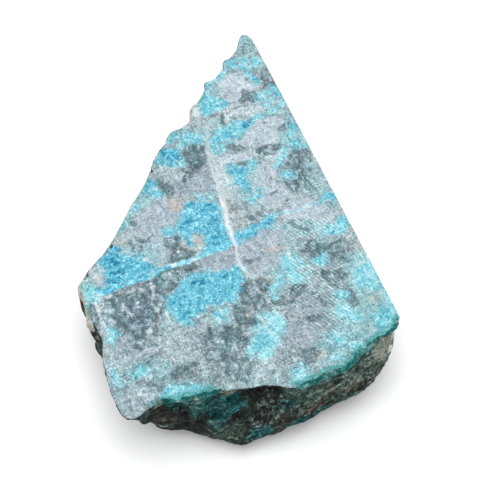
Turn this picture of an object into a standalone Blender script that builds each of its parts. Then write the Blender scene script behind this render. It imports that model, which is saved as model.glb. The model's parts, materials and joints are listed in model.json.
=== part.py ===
"""Chrysocolla rough: a broken piece of copper-stained rock with two saw cuts.

One solid stone, metres, +Z up. It lies on its rough back with the wide saw cut
facing up. A second saw cut makes the long straight side. Everything else is a
broken, weathered wall with lumps, facets, ledges, grooves and pits.
"""

import bmesh
import bpy
import numpy as np
from mathutils import Vector, noise

MM = 0.001

# Wide saw cut, the top face: a plane that is nearly level.
FACE_HEIGHT = 23.0 * MM  # over the foot, above the stone's middle
FACE_SLOPE_X = 0.0175  # rise per metre towards +X, 1 degree
FACE_SLOPE_Y = -0.0349  # fall per metre towards +Y, 2 degrees

# Rim of the saw cut seen from above, in mm, anticlockwise from the pointed end.
POINTED_END = [(2.6, 57.0), (1.6, 57.5), (0.4, 56.9), (-0.4, 55.0)]
BROKEN_LONG_SIDE = [
    (-1.2, 52.4), (-3.4, 49.2), (-5.6, 44.8), (-6.8, 43.2), (-8.5, 42.2), (-9.6, 38.8), (-11.6, 34.4),
    (-12.2, 30.6), (-12.9, 29.1), (-16.4, 26.6), (-18.7, 24.0), (-19.2, 21.8), (-21.6, 18.6),
    (-22.6, 13.6), (-24.9, 7.4), (-27.0, 3.8), (-28.1, 0.4), (-31.2, -6.7), (-33.2, -10.3),
    (-36.2, -14.2), (-37.8, -17.4),
]
CHIPPED_CORNER = [
    (-38.1, -19.2), (-37.6, -21.6), (-36.1, -25.4), (-34.4, -29.3), (-32.5, -30.7), (-31.8, -33.6),
]
BROKEN_LOWER_LEFT = [(-31.4, -39.0), (-29.4, -46.0), (-27.2, -51.0), (-25.8, -53.0)]
OVERHUNG_TIP = [(-24.6, -54.0), (-22.4, -52.6), (-20.4, -50.3)]
BROKEN_NEAR_SIDE = [
    (-17.4, -49.2), (-12.2, -48.7), (-8.4, -48.0), (-5.2, -46.5), (-0.6, -46.0), (3.2, -45.6), (5.8, -45.0),
    (8.6, -45.2), (12.6, -46.1), (15.3, -45.7), (17.4, -43.8), (20.8, -42.1), (25.0, -41.0), (26.7, -39.4),
    (27.4, -37.3), (31.2, -34.4), (35.6, -31.4),
]
SAWN_CORNER = [(37.2, -30.4), (37.6, -29.5)]

# Long saw cut: an upright plane from the pointed end to the sawn corner.
SIDE_CUT_FROM = (3.4, 56.1)
SIDE_CUT_TO = (37.1, -27.9)

# Walls, by compass bearing in degrees round the middle, anticlockwise from +X.
# Each row: bearing; undercut below the rim, swell past the rim (a minus sign is
# a wall that leans in) and height of the swell over the foot, all in mm; how far
# the foot is drawn in, as a share of the way to the middle line; and how bold the
# relief is.
WALL_MIDDLE = (0.0, -10.0)
MIDDLE_LINE = (-18.0 * MM, 26.0 * MM)  # from and to, along Y
WALL_STATIONS = [
    (0.0, 0.0, 0.2, 9.0, 0.28, 1.0),
    (40.0, 0.0, 0.2, 9.0, 0.30, 1.0),
    (75.0, 0.0, -0.5, 10.0, 0.42, 0.8),
    (84.0, 0.0, -1.5, 11.0, 0.50, 0.4),
    (89.0, 0.2, -2.5, 12.0, 0.55, 0.3),
    (95.0, 0.4, -0.4, 11.0, 0.50, 0.6),
    (100.0, 0.5, 0.6, 10.0, 0.45, 1.0),
    (114.0, 0.4, 1.6, 9.0, 0.36, 1.2),
    (131.0, 0.8, 0.2, 11.0, 0.34, 1.3),
    (150.0, 0.4, 2.0, 9.0, 0.32, 1.3),
    (170.0, 0.8, 1.0, 10.0, 0.30, 1.3),
    (188.0, 0.5, -1.2, 13.0, 0.30, 1.1),
    (198.0, 0.4, -0.2, 15.0, 0.32, 1.0),
    (212.0, 0.2, 0.6, 15.0, 0.30, 0.9),
    (220.0, 0.8, -3.2, 12.0, 0.22, 0.8),
    (232.0, 1.2, -6.5, 9.0, 0.18, 0.8),
    (240.0, 1.4, -7.5, 8.0, 0.18, 0.6),
    (244.0, 1.6, -2.4, 7.0, 0.22, 0.6),
    (250.0, 1.6, -1.4, 6.5, 0.26, 0.7),
    (257.0, 0.8, 0.8, 6.5, 0.27, 0.7),
    (262.0, 0.6, 3.0, 6.5, 0.28, 0.7),
    (270.0, 1.6, 5.2, 6.5, 0.30, 0.7),
    (277.0, 3.6, 5.2, 6.5, 0.30, 0.7),
    (283.0, 3.2, 4.0, 6.5, 0.28, 0.7),
    (290.0, 0.8, 1.4, 7.0, 0.26, 0.5),
    (300.0, 0.4, 0.6, 7.0, 0.26, 0.5),
    (313.0, 0.6, 1.4, 9.0, 0.26, 0.5),
    (318.0, 0.7, 3.2, 11.0, 0.26, 0.5),
    (323.0, 0.9, 2.2, 13.0, 0.27, 0.6),
    (328.0, 1.8, -0.6, 14.0, 0.28, 0.7),
    (333.0, 2.0, -1.6, 14.0, 0.28, 0.7),
    (340.0, 0.8, -2.6, 12.0, 0.28, 0.7),
    (350.0, 0.0, 0.2, 10.0, 0.28, 1.0),
]
UNDERCUT_DEPTH = 0.26  # of the way from rim to swell, where the undercut is deepest
UNDERCUT_REACH = 0.18  # of the way from rim to swell, half its width
SAW_SPARE = 2.4 * MM  # rough stone outside the long saw cut, taken off by it

# Broken arris at the rim: how far it is worn back on top, and how deep it goes.
WORN_IN = 0.7 * MM
WORN_DOWN = 0.6 * MM
SAWN_ARRIS = 0.25 * MM

# Relief of the broken walls.
LUMP_SIZE = 11.0 * MM
LUMP_HEIGHT = 1.0 * MM
FACET_SIZE = 8.5 * MM
FACET_TILT = 0.30  # rise of a fracture facet per metre across it
FACET_BLEND = 0.10  # of a facet's size, over which one turns into the next
FACET_PICK = 3.7  # spreads the facets' centres out, so that neighbours take unlike tilts
LEDGE_SPACING = 5.2 * MM
LEDGE_DIP = 0.30  # the ledges climb this much per metre towards +X
LEDGE_HEIGHT = 0.7 * MM
LEDGE_STEP = 0.35  # of the spacing, taken up by the quick step
LEDGE_WANDER = 0.5  # of the spacing, by which the ledges leave their level
GRAIN_SIZE = 3.0 * MM
GRAIN_HEIGHT = 0.25 * MM
SMOOTH_LIP = 3.0 * MM  # the relief grows from nothing over this depth below the rim
FOOT_PATCH = 16.0 * MM  # size of the bays and spurs of the foot's outline
FOOT_WANDER = 0.35  # how much they change the share that the foot is drawn in

# Pits in the broken walls: bearing in degrees, height over the foot, radius and depth in mm.
PIT_BEARING_RADIUS = 45.0 * MM  # turns a difference of bearing into a distance along the wall
PITS = [
    (247.0, 15.0, 2.2, 1.5),
    (251.5, 17.5, 1.9, 1.3),
    (255.5, 12.0, 2.2, 1.4),
    (260.5, 14.5, 2.0, 1.6),
    (265.0, 10.5, 2.4, 1.3),
    (273.0, 15.5, 3.0, 1.8),
    (281.0, 17.5, 3.6, 2.0),
    (296.0, 9.0, 2.2, 1.0),
    (325.0, 16.0, 2.2, 1.3),
    (204.0, 9.0, 2.6, 1.3),
    (158.0, 13.0, 3.0, 1.6),
    (124.0, 11.0, 2.6, 1.4),
]

AROUND = 200  # points round each ring
RIM_SOFTENING = 2  # passes of three-point averaging round the rim
RIM_REACH = 4  # points each way that a direction out of the rim is averaged over
ON_CUT = 0.1 * MM  # how near the long saw cut a point of the rim counts as lying on it
# Rings from the rim down to the swell, as fractions of that drop, and from the
# swell under to the foot, as degrees of the quarter ellipse that joins them.
DROPS = (0.07, 0.14, 0.22, 0.30, 0.39, 0.48, 0.58, 0.68, 0.79, 0.90, 1.0)
TURNS = (20.0, 38.0, 54.0, 68.0, 80.0, 90.0)
FOOT_LIFT = 0.25 * MM  # nothing but the foot comes this close to the ground


def clear_scene():
    """Empties the scene, startup cube included."""
    for thing in list(bpy.context.scene.objects):
        bpy.data.objects.remove(thing, do_unlink=True)


def side_cut_plane():
    """Outward normal of the long saw cut seen from above, and its distance from the origin."""
    start = np.array(SIDE_CUT_FROM) * MM
    along = np.array(SIDE_CUT_TO) * MM - start
    normal = np.array((-along[1], along[0])) / np.linalg.norm(along)
    return normal, float(normal @ start)


def face_height(x, y):
    """Height of the wide saw cut over a point."""
    return FACE_HEIGHT + FACE_SLOPE_X * x + FACE_SLOPE_Y * y


def rim_outline():
    """The rim as evenly spaced points, its corners a little rounded."""
    corners = np.array(
        POINTED_END + BROKEN_LONG_SIDE + CHIPPED_CORNER + BROKEN_LOWER_LEFT + OVERHUNG_TIP
        + BROKEN_NEAR_SIDE + SAWN_CORNER + [SIDE_CUT_TO, SIDE_CUT_FROM]
    ) * MM
    closed = np.vstack((corners, corners[:1]))
    run = np.concatenate(((0.0,), np.cumsum(np.linalg.norm(np.diff(closed, axis=0), axis=1))))
    places = np.linspace(0.0, run[-1], AROUND, endpoint=False)
    rim = np.column_stack([np.interp(places, run, closed[:, axis]) for axis in (0, 1)])
    for _ in range(RIM_SOFTENING):
        rim = (np.roll(rim, 1, axis=0) + 2.0 * rim + np.roll(rim, -1, axis=0)) / 4.0
    return rim


def unit(vectors):
    """The same directions, one unit long."""
    return vectors / np.linalg.norm(vectors, axis=1)[:, None]


def outward(rim):
    """Unit directions out of the rim, and the way to each of its points from the middle line."""
    along = np.roll(rim, -RIM_REACH, axis=0) - np.roll(rim, RIM_REACH, axis=0)
    square = unit(np.column_stack((along[:, 1], -along[:, 0])))
    fan = rim - np.column_stack((np.zeros(AROUND), np.clip(rim[:, 1], *MIDDLE_LINE)))
    return unit(square + unit(fan)), fan


def moved_out(rim, out, fan, offset):
    """The rim moved square to itself where that is outwards, towards the middle line where it is inwards."""
    outwards = out * np.maximum(offset, 0.0)[:, None]
    inwards = unit(fan) * np.minimum(offset, 0.0)[:, None]
    return rim + outwards + inwards


def station_values(rim):
    """Bearing, undercut, swell, swell height, foot share and relief strength for each point of the rim."""
    middle = np.array(WALL_MIDDLE) * MM
    bearing = np.degrees(np.arctan2(rim[:, 1] - middle[1], rim[:, 0] - middle[0])) % 360.0
    table = np.array(WALL_STATIONS)
    columns = [np.interp(bearing, table[:, 0], column, period=360.0) for column in table[:, 1:].T]
    undercut, swell, swell_height, foot_share, boldness = columns
    return bearing, undercut * MM, swell * MM, swell_height * MM, foot_share, boldness


def ease(t):
    """Smooth step from 0 to 1."""
    t = np.clip(t, 0.0, 1.0)
    return t * t * (3.0 - 2.0 * t)


def facet_offset(point):
    """Height of the tilted fracture facets, each turning quickly into the next."""
    distances, centres = noise.voronoi(point / FACET_SIZE)
    total = 0.0
    weights = 0.0
    for distance, centre in zip(distances, centres):
        weight = float(np.exp((distances[0] - distance) / FACET_BLEND))
        tilt = noise.cell_vector(centre * FACET_PICK) * 2.0 - Vector((1.0, 1.0, 1.0))
        total += weight * tilt.dot(point / FACET_SIZE - centre)
        weights += weight
    return FACET_TILT * FACET_SIZE * total / weights


def ledge_offset(point):
    """Height of the ledges: flat treads with quick steps between them."""
    level = (point.z - LEDGE_DIP * point.x) / LEDGE_SPACING
    level += LEDGE_WANDER * noise.noise(point / LUMP_SIZE)
    step = level - np.floor(level)
    return LEDGE_HEIGHT * (float(ease(step / LEDGE_STEP)) - step)


def pit_offset(bearing, height):
    """Depth of the pits at a place on the wall, as a minus number."""
    depth = 0.0
    for pit_bearing, pit_height, radius, pit_depth in PITS:
        across = np.radians(bearing - pit_bearing) * PIT_BEARING_RADIUS
        up = height - pit_height * MM
        reach = (across ** 2 + up ** 2) / (radius * MM) ** 2
        depth -= pit_depth * MM * float(np.exp(-reach))
    return depth


def relief(point, bearing, height):
    """Lumps, facets, ledges, grain and pits of the broken wall."""
    lumps = LUMP_HEIGHT * noise.noise(point / LUMP_SIZE)
    grain = GRAIN_HEIGHT * noise.noise(point / GRAIN_SIZE)
    return lumps + grain + facet_offset(point) + ledge_offset(point) + pit_offset(bearing, height)


def saw_flat(ring):
    """Takes off whatever of a ring lies outside the long saw cut."""
    normal, distance = side_cut_plane()
    past = np.maximum(ring[:, :2] @ normal - distance, 0.0)
    ring[:, :2] -= past[:, None] * normal


def roughen(ring, out, down, bearing, fade):
    """Moves a ring's points out of the wall by the relief; down is 0 on an upright wall, 1 underneath."""
    across = float(np.sqrt(1.0 - down ** 2))
    for index in np.flatnonzero(fade > 0.0):
        shift = relief(Vector(ring[index]), bearing[index], ring[index, 2]) * fade[index]
        ring[index, :2] += out[index] * shift * across
        ring[index, 2] = max(ring[index, 2] - shift * down, FOOT_LIFT)


def arris_rings(rim, out, top, on_cut):
    """The worn edge of the wide saw cut: its line on the cut, and the line just below it."""
    inner = rim - out * np.where(on_cut, SAWN_ARRIS, WORN_IN)[:, None]
    upper = np.column_stack((inner, face_height(inner[:, 0], inner[:, 1])))
    lower = np.column_stack((rim, top - np.where(on_cut, SAWN_ARRIS, WORN_DOWN)))
    return [upper, lower]


def wall_rings():
    """Rings of points from the rim of the wide cut down to the foot."""
    rim = rim_outline()
    out, fan = outward(rim)
    bearing, undercut, swell, swell_height, foot_share, boldness = station_values(rim)
    normal, distance = side_cut_plane()
    on_cut = rim @ normal > distance - ON_CUT
    spare = np.where(on_cut, SAW_SPARE, 0.0)
    foot_share *= [1.0 + FOOT_WANDER * noise.noise(Vector((x, y, 0.0)) / FOOT_PATCH) for x, y in rim]
    top = face_height(rim[:, 0], rim[:, 1])
    rings = arris_rings(rim, out, top, on_cut)
    for drop in DROPS:
        height = top - drop * (top - swell_height)
        notch = np.exp(-((drop - UNDERCUT_DEPTH) / UNDERCUT_REACH) ** 2)
        offset = swell * ease(drop) - undercut * notch + spare
        ring = np.column_stack((moved_out(rim, out, fan, offset), height))
        roughen(ring, out, 0.0, bearing, boldness * ease((top - height - WORN_DOWN) / SMOOTH_LIP))
        rings.append(ring)
    for turn in np.radians(TURNS):
        place = moved_out(rim, out, fan, swell + spare * np.cos(turn))
        place -= fan * (foot_share * (1.0 - np.cos(turn)))[:, None]
        ring = np.column_stack((place, swell_height * (1.0 - np.sin(turn))))
        if turn < np.radians(TURNS[-1]):
            roughen(ring, out, float(np.sin(turn)), bearing, boldness)
        rings.append(ring)
    for ring in rings:
        saw_flat(ring)
    return rings


def stone_mesh():
    """The closed stone: walls between the rings, the sawn face on top, the foot below."""
    mesh = bpy.data.meshes.new("chrysocolla_stone")
    bm = bmesh.new()
    rings = [[bm.verts.new(point) for point in ring] for ring in wall_rings()]
    for upper, lower in zip(rings, rings[1:]):
        for index in range(AROUND):
            following = (index + 1) % AROUND
            bm.faces.new((upper[index], lower[index], lower[following], upper[following]))
    bm.faces.new(rings[0])
    bm.faces.new(reversed(rings[-1]))
    bmesh.ops.recalc_face_normals(bm, faces=bm.faces)
    walls = [face for face in bm.faces if len(face.verts) == 4]
    bmesh.ops.triangulate(bm, faces=walls, quad_method="SHORT_EDGE")
    stand_on_origin(bm)
    bm.to_mesh(mesh)
    bm.free()
    return mesh


def stand_on_origin(bm):
    """Moves the stone so that the middle of its footprint is the origin and its foot is at z = 0."""
    places = np.array([vert.co for vert in bm.verts])
    low = places.min(axis=0)
    high = places.max(axis=0)
    middle = Vector(((low[0] + high[0]) / 2.0, (low[1] + high[1]) / 2.0, low[2]))
    bmesh.ops.translate(bm, verts=bm.verts, vec=-middle)


def stone_material():
    """Grey-blue copper-stained rock, dull where it is sawn and broken."""
    material = bpy.data.materials.new("chrysocolla_rock")
    material.use_nodes = True
    shader = material.node_tree.nodes["Principled BSDF"]
    shader.inputs["Base Color"].default_value = (0.22, 0.37, 0.41, 1.0)
    shader.inputs["Roughness"].default_value = 0.6
    shader.inputs["Metallic"].default_value = 0.0
    return material


def build_stone():
    """The stone as one named object with its material."""
    mesh = stone_mesh()
    mesh.materials.append(stone_material())
    stone = bpy.data.objects.new("chrysocolla_stone", mesh)
    bpy.context.scene.collection.objects.link(stone)
    return stone


clear_scene()
build_stone()
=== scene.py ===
# %% [markdown]
# # A sawn piece of chrysocolla
#
# Chrysocolla is a soft blue-green copper mineral. It fills cracks and gaps in broken rock, so a piece
# cut from the vein shows blue patches and threads between grey pieces of the old rock.
# This stone has two faces made by a diamond saw, the top and the long straight side, and the rest of it
# is broken rock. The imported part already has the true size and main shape. This lesson dresses it:
# a finer mesh, the broken surface, the minerals on the cut face, light and a camera.
#
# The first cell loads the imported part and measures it. All later sizes are in the part's own
# millimetres, so that the dressed stone fits it.

# %% Load the part
import json
import math

import bmesh
import bpy
import numpy as np
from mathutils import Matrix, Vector, kdtree, noise


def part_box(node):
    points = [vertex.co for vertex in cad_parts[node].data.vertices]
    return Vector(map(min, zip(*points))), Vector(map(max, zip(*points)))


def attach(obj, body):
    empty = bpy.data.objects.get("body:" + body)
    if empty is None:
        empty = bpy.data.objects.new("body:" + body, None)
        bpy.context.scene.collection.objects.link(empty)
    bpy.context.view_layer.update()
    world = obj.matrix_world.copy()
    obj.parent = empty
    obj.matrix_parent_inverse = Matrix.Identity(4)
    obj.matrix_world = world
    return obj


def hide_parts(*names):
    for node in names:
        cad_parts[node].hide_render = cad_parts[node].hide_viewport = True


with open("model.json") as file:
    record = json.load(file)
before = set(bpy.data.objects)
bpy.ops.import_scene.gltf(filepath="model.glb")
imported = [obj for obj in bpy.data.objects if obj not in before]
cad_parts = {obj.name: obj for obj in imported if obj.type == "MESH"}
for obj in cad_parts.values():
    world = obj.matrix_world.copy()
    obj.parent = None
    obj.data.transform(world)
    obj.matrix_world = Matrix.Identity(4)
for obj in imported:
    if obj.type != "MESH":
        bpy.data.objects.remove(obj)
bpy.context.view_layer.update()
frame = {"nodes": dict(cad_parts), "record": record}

MM = 0.001
STONE = "chrysocolla_stone"

stone_low, stone_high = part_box(STONE)
print("stone in mm:", [round((high - low) / MM, 1) for low, high in zip(stone_low, stone_high)])

# %% [markdown]
# The saw left the top as one true plane, a little tilted. The part's record says where it is, because
# somebody may want to fasten a label or a stand to it. The plane is read from there, so that the fine
# mesh gets exactly the same cut.
#
# The minerals are placed on a drawing of the cut face, in millimetres. The drawing's zero lies close to
# the middle of the stone, and a small offset carries a point of the drawing to the stone.

# %% The cut face and its drawing
# Where the drawing's zero lies on the stone, and the two ends of the sawn side on the drawing.
DRAWING_ZERO = Vector((0.664, -1.788, 0.0))
SIDE_CUT_FAR = (3.4, 56.1)
SIDE_CUT_NEAR = (37.1, -27.9)

face_mount = next(m for m in frame["record"]["mounts"] if m["name"] == "sawn_face")
face_point = np.array(face_mount["pos_m"]) / MM
face_normal = np.array(face_mount["axis"])
side_along = np.subtract(SIDE_CUT_FAR, SIDE_CUT_NEAR)
side_length = np.linalg.norm(side_along)
side_normal = np.array([side_along[1], -side_along[0]]) / side_length
side_point = np.array(SIDE_CUT_NEAR) + np.array(DRAWING_ZERO[:2])


def below_face(places):
    """How far each place lies under the sawn face, in mm."""
    return (face_point - places) @ face_normal


def inside_side_cut(places):
    """How far each place lies inside the sawn side, in mm."""
    return (side_point - places[:, :2]) @ side_normal


print("sawn face at", face_point.round(2), "mm, side cut", round(float(side_length), 1), "mm long")

# %% [markdown]
# # The shape
#
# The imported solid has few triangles. Its flat facets would show as soon as the light grazes them, so a
# much finer skin is laid over it. Blender's voxel Remesh rebuilds any closed mesh from small even
# squares. That suits a stone: broken rock has no lines of its own that the mesh should follow.
# A subdivision surface would also make more faces, but it would keep the long thin triangles.

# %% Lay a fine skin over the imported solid
SKIN_SQUARE = 0.42
# Points closer than this are one point, in mm.
SAME_POINT = 0.001


def closed_copy(source, name):
    """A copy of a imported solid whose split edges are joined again."""
    shape = bmesh.new()
    shape.from_mesh(source.data)
    bmesh.ops.remove_doubles(shape, verts=shape.verts, dist=SAME_POINT * MM)
    mesh = bpy.data.meshes.new(name)
    shape.to_mesh(mesh)
    shape.free()
    return mesh


def remeshed(mesh, square):
    """The mesh rebuilt from even squares of this width in mm."""
    carrier = bpy.data.objects.new("remesh_carrier", mesh)
    bpy.context.scene.collection.objects.link(carrier)
    rebuild = carrier.modifiers.new("even squares", "REMESH")
    rebuild.mode = "VOXEL"
    rebuild.voxel_size = square * MM
    rebuild.adaptivity = 0.0
    graph = bpy.context.evaluated_depsgraph_get()
    fine = bpy.data.meshes.new_from_object(carrier.evaluated_get(graph))
    bpy.data.objects.remove(carrier)
    return fine


solid = closed_copy(frame["nodes"][STONE], "joined_solid")
skin = remeshed(solid, SKIN_SQUARE)
print("skin:", len(skin.vertices), "points in squares of", SKIN_SQUARE, "mm")

# %% [markdown]
# A mesh with many thousands of points is slow to change point by point. Three small functions take all
# its points out as rows of numbers, say which way the surface faces, and put the points back.

# %% Points out of a mesh and back into it
def mesh_places(mesh):
    """All points of a mesh, in mm, one row each."""
    flat = np.empty(len(mesh.vertices) * 3, np.float32)
    mesh.vertices.foreach_get("co", flat)
    return flat.reshape(-1, 3).astype(float) / MM


def mesh_normals(mesh):
    """The direction in which the surface faces at each point."""
    flat = np.empty(len(mesh.vertices) * 3, np.float32)
    mesh.vertex_normals.foreach_get("vector", flat)
    return flat.reshape(-1, 3).astype(float)


def set_places(mesh, places):
    """Moves the points of a mesh to these places, given in mm."""
    mesh.vertices.foreach_set("co", (places * MM).astype(np.float32).ravel())
    mesh.update()


facing = mesh_normals(skin)
print("highest point:", mesh_places(skin)[:, 2].max().round(2), "mm")

# %% [markdown]
# Some lumps and pits belong to this stone and no other: the thin tip that runs out along the saw cut,
# the nodules beside it, the pits under the near rim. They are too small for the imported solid, and noise
# would put them anywhere. So each one is a push: a middle, a reach, and how far the surface moves there.
# Sculpting would do the same by hand, but a short list can be read and changed.

# %% Push single lumps and pits
# Single lumps and pits, in mm: the middle, the reach, and the push there.
PUSHES = [
    # the tip, which runs out along the sawn side
    ((2.2, 56.4, 20.5), 6.0, (-0.55, 1.7, 0.0)),
    # nodules and a step on the edge beside the tip
    ((-8.3, 40.3, 21.0), 2.2, (-1.2, 0.4, 0.0)),
    ((-3.0, 47.0, 21.0), 2.2, (-0.9, 0.3, 0.0)),
    ((-11.4, 31.2, 21.4), 3.4, (-0.9, 0.5, 0.0)),
    ((-12.6, 29.8, 13.5), 7.0, (2.0, -1.0, 0.0)),
    ((-16.6, 24.0, 21.0), 3.0, (-0.6, 0.4, 0.0)),
    # the left edge
    ((-34.8, -30.6, 15.5), 4.6, (1.2, 0.6, 0.0)),
    ((-32.0, -37.6, 15.0), 4.4, (1.1, 0.4, 0.0)),
    ((-22.0, -48.6, 8.0), 4.0, (0.6, 1.6, 0.0)),
    # pits under the near rim
    ((-13.3, -49.6, 18.7), 1.9, (0.2, 1.4, 0.0)),
    ((-11.6, -50.4, 16.3), 1.6, (0.1, 1.2, 0.0)),
    ((-8.4, -50.6, 16.5), 1.5, (0.0, 1.2, 0.0)),
    ((-4.5, -49.6, 14.2), 2.0, (0.0, 1.4, 0.0)),
    ((0.1, -50.6, 14.6), 2.0, (0.0, 1.4, 0.0)),
    # lumps between them, and the rounded foot
    ((-8.3, -49.6, 20.2), 3.2, (0.0, -0.7, 0.2)),
    ((-1.1, -48.6, 17.8), 3.2, (0.0, -0.8, 0.0)),
    ((-4.3, -51.8, 9.0), 3.8, (0.0, -0.5, 0.0)),
    ((-18.2, -50.6, 3.0), 5.0, (0.3, 2.0, 0.0)),
    ((14.5, -49.5, 4.0), 5.0, (-0.4, 1.3, 0.0)),
    ((25.5, -44.2, 5.0), 5.0, (-0.6, 1.2, 0.0)),
    # the near right shoulder
    ((35.4, -34.0, 20.0), 4.0, (0.7, -0.3, 0.0)),
    ((35.4, -34.6, 15.0), 4.4, (1.3, -0.5, 0.0)),
]
# Inside this share of its reach a push has its full strength.
PUSH_CORE = 0.15


def eased(values, start, end):
    """0 up to start, 1 from end on, and a smooth rise between them."""
    share = np.clip((values - start) / (end - start), 0.0, 1.0)
    return share * share * (3.0 - 2.0 * share)


def pushed(places):
    """The places after all pushes. A push is strongest in its middle and fades out at its reach."""
    moved = places.copy()
    for middle, reach, push in PUSHES:
        distance = np.linalg.norm(places - middle, axis=1)
        moved += (1.0 - eased(distance, PUSH_CORE * reach, reach))[:, None] * push
    return moved


places = pushed(mesh_places(skin))
print(len(PUSHES), "pushes, the longest", max(round(math.hypot(*push), 2) for *_, push in PUSHES), "mm")

# %% [markdown]
# The remesh rounds the sharp edge of the saw cut a little. The points that lie nearly on a cut, and face
# the same way as it, are put back on its plane, so that both cuts are as flat as a saw leaves them.

# %% Flatten the two saw cuts
# How near to a cut, in mm, and how nearly along its normal, a point must be to belong to it.
SNAP_BAND = 0.30
UPRIGHT = 0.80

on_face = (np.abs(below_face(places)) < SNAP_BAND) & (facing @ face_normal > UPRIGHT)
places[on_face] += below_face(places[on_face])[:, None] * face_normal
side_facing = facing[:, :2] @ side_normal
on_side = (np.abs(inside_side_cut(places)) < SNAP_BAND) & (side_facing > UPRIGHT) & ~on_face
places[on_side, :2] += inside_side_cut(places[on_side])[:, None] * side_normal
set_places(skin, places)
print(int(on_face.sum()), "points on the top cut,", int(on_side.sum()), "on the side cut")

# %% [markdown]
# The other sides are broken rock. A break has relief at several sizes at once: lumps where it went
# round a hard grain, flat facets where it followed a weak plane, then ledges, crumbs and pits. Each size
# is one layer of noise. Two kinds are enough: soft noise for what is round, and tilted cells for facets.

# %% Noise at a size in millimetres
# These shifts give every seed its own part of the endless noise.
SOFT_SHIFT = 31.7
FACET_SHIFT = 17.9
# How narrow the blend between two facets is, and what turns a cell's middle into its own random tilt.
FACET_SEAM = 0.04
TILT_SHUFFLE = 7.3
EVEN_TILT = Vector((0.5, 0.5, 0.5))


def soft_noise(spots, size, seed, stretch=(1.0, 1.0, 1.0)):
    """A soft random value from about -1 to 1 for each spot. Its lumps are this many mm wide."""
    scaled = spots / (size * np.array(stretch)) + SOFT_SHIFT * seed
    return np.array([noise.noise(spot) for spot in scaled.tolist()])


def facet_noise(spots, size, seed):
    """Flat facets of this size: each spot takes the tilt of its nearest cell, blended at the seams."""
    heights = []
    for spot in (spots / size + FACET_SHIFT * seed).tolist():
        distances, centres = noise.voronoi(spot)
        height = 0.0
        total = 0.0
        for distance, centre in zip(distances, centres):
            weight = 1.0 / (FACET_SEAM + (distance - distances[0])) ** 2
            tilt = noise.cell_vector(centre * TILT_SHUFFLE) - EVEN_TILT
            height += weight * tilt.dot(Vector(spot) - centre)
            total += weight
        heights.append(height / total)
    return np.array(heights)


print("noise at the middle of the stone:", soft_noise(np.zeros((1, 3)), 5.0, seed=1).round(2))

# %% [markdown]
# Every point of a wall moves along its own facing by the sum of the layers. A Displace modifier could do
# the same with a texture, but plain sums in code make it easy to hold the cut faces still: the relief
# fades out towards both saw cuts and the foot. The lowest few mm carry only a third of it, so that the
# stone keeps the outline on which it stands.
#
# The near right wall is different. There the break ran along a crust of fibres, and left long thin
# ridges that lie side by side like ropes. They are soft noise drawn out along one direction.

# %% Break the walls
# Each layer of relief: how wide its forms are, and how far they stand out, in mm.
LUMPS = (5.0, 0.55)
FACETS = (3.6, 0.55)
LEDGES = (1.5, 0.22)
ROPES = (1.0, 0.40)
CRUMBS = (1.3, 0.22)
GRAINS = (0.85, 0.09)
PITS = (2.3, 0.8)
# Ledges are long and level. Ropes run at a turn and a rise, in degrees.
LEDGE_STRETCH = (5.0, 5.0, 1.0)
ROPE_STRETCH = (7.0, 1.0, 1.0)
ROPE_TURN = 28.0
ROPE_RISE = 14.0
# Where the ropes begin and are full: to the right, and towards the near side, in mm.
ROPES_RIGHT = (6.0, 13.0)
ROPES_NEAR = (24.0, 32.0)
# A pit opens where the noise passes this value, and has its full depth this much higher.
PIT_OPENS = 0.28
PIT_RISE = 0.35
# The relief grows over these distances in mm: from the cuts, from the foot, and over the calm band.
CUT_FADE = (0.25, 1.7)
FOOT_FADE = (0.1, 1.2)
CALM_FOOT = (0.0, 7.0)
CALM_SHARE = 0.30


def along_ropes(spots):
    """The spots in coordinates whose first axis runs along the ropes of the near right wall."""
    turn, tilt = math.radians(ROPE_TURN), math.radians(ROPE_RISE)
    level = np.array([math.cos(turn), math.sin(turn), 0.0])
    out = np.array([level[1], -level[0], 0.0])
    run = math.cos(tilt) * level + math.sin(tilt) * np.array([0.0, 0.0, 1.0])
    return np.stack([spots @ run, spots @ out, spots @ np.cross(run, out)], axis=1)


facing = mesh_normals(skin)
wall_share = (
    eased(below_face(places), *CUT_FADE)
    * eased(inside_side_cut(places), *CUT_FADE)
    * eased(places[:, 2], *FOOT_FADE)
    * (CALM_SHARE + (1.0 - CALM_SHARE) * eased(places[:, 2], *CALM_FOOT))
)
walls = np.flatnonzero(wall_share > 0.0)
spots = places[walls]
roped = eased(spots[:, 0], *ROPES_RIGHT) * eased(-spots[:, 1], *ROPES_NEAR)
pits = np.clip(soft_noise(spots, PITS[0], seed=5) - PIT_OPENS, 0.0, PIT_RISE) / PIT_RISE
relief = (
    LUMPS[1] * soft_noise(spots, LUMPS[0], seed=1)
    + FACETS[1] * facet_noise(spots, FACETS[0], seed=2)
    + LEDGES[1] * soft_noise(spots, LEDGES[0], seed=3, stretch=LEDGE_STRETCH)
    + ROPES[1] * roped * soft_noise(along_ropes(spots), ROPES[0], seed=7, stretch=ROPE_STRETCH)
    + CRUMBS[1] * np.abs(soft_noise(spots, CRUMBS[0], seed=4))
    + GRAINS[1] * soft_noise(spots, GRAINS[0], seed=6)
    - PITS[1] * pits
)
places[walls] += (wall_share[walls] * relief)[:, None] * facing[walls]
print("walls:", len(walls), "points moved by", relief.min().round(2), "to", relief.max().round(2), "mm")

# %% [markdown]
# Where a saw runs out through the rough outside of a stone, the edge is not a clean line: it spalls.
# The next cells shape this rim, and first find it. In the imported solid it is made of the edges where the
# cut face meets a wall. A KD tree then gives each point of the skin its distance to the rim in no time.

# %% Find the broken rim
RIM_STEP = 0.3
# What counts as facing like the cut, as lying on it, and as part of the saw's own edge, in mm.
LIKE_THE_CUT = 0.999
ON_THE_CUT = 0.05
AT_SAW_EDGE = 0.5
# Only points this near under the face, in mm, are measured. The others are far away.
RIM_SEARCH = 3.0
FAR_AWAY = 99.0


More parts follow.
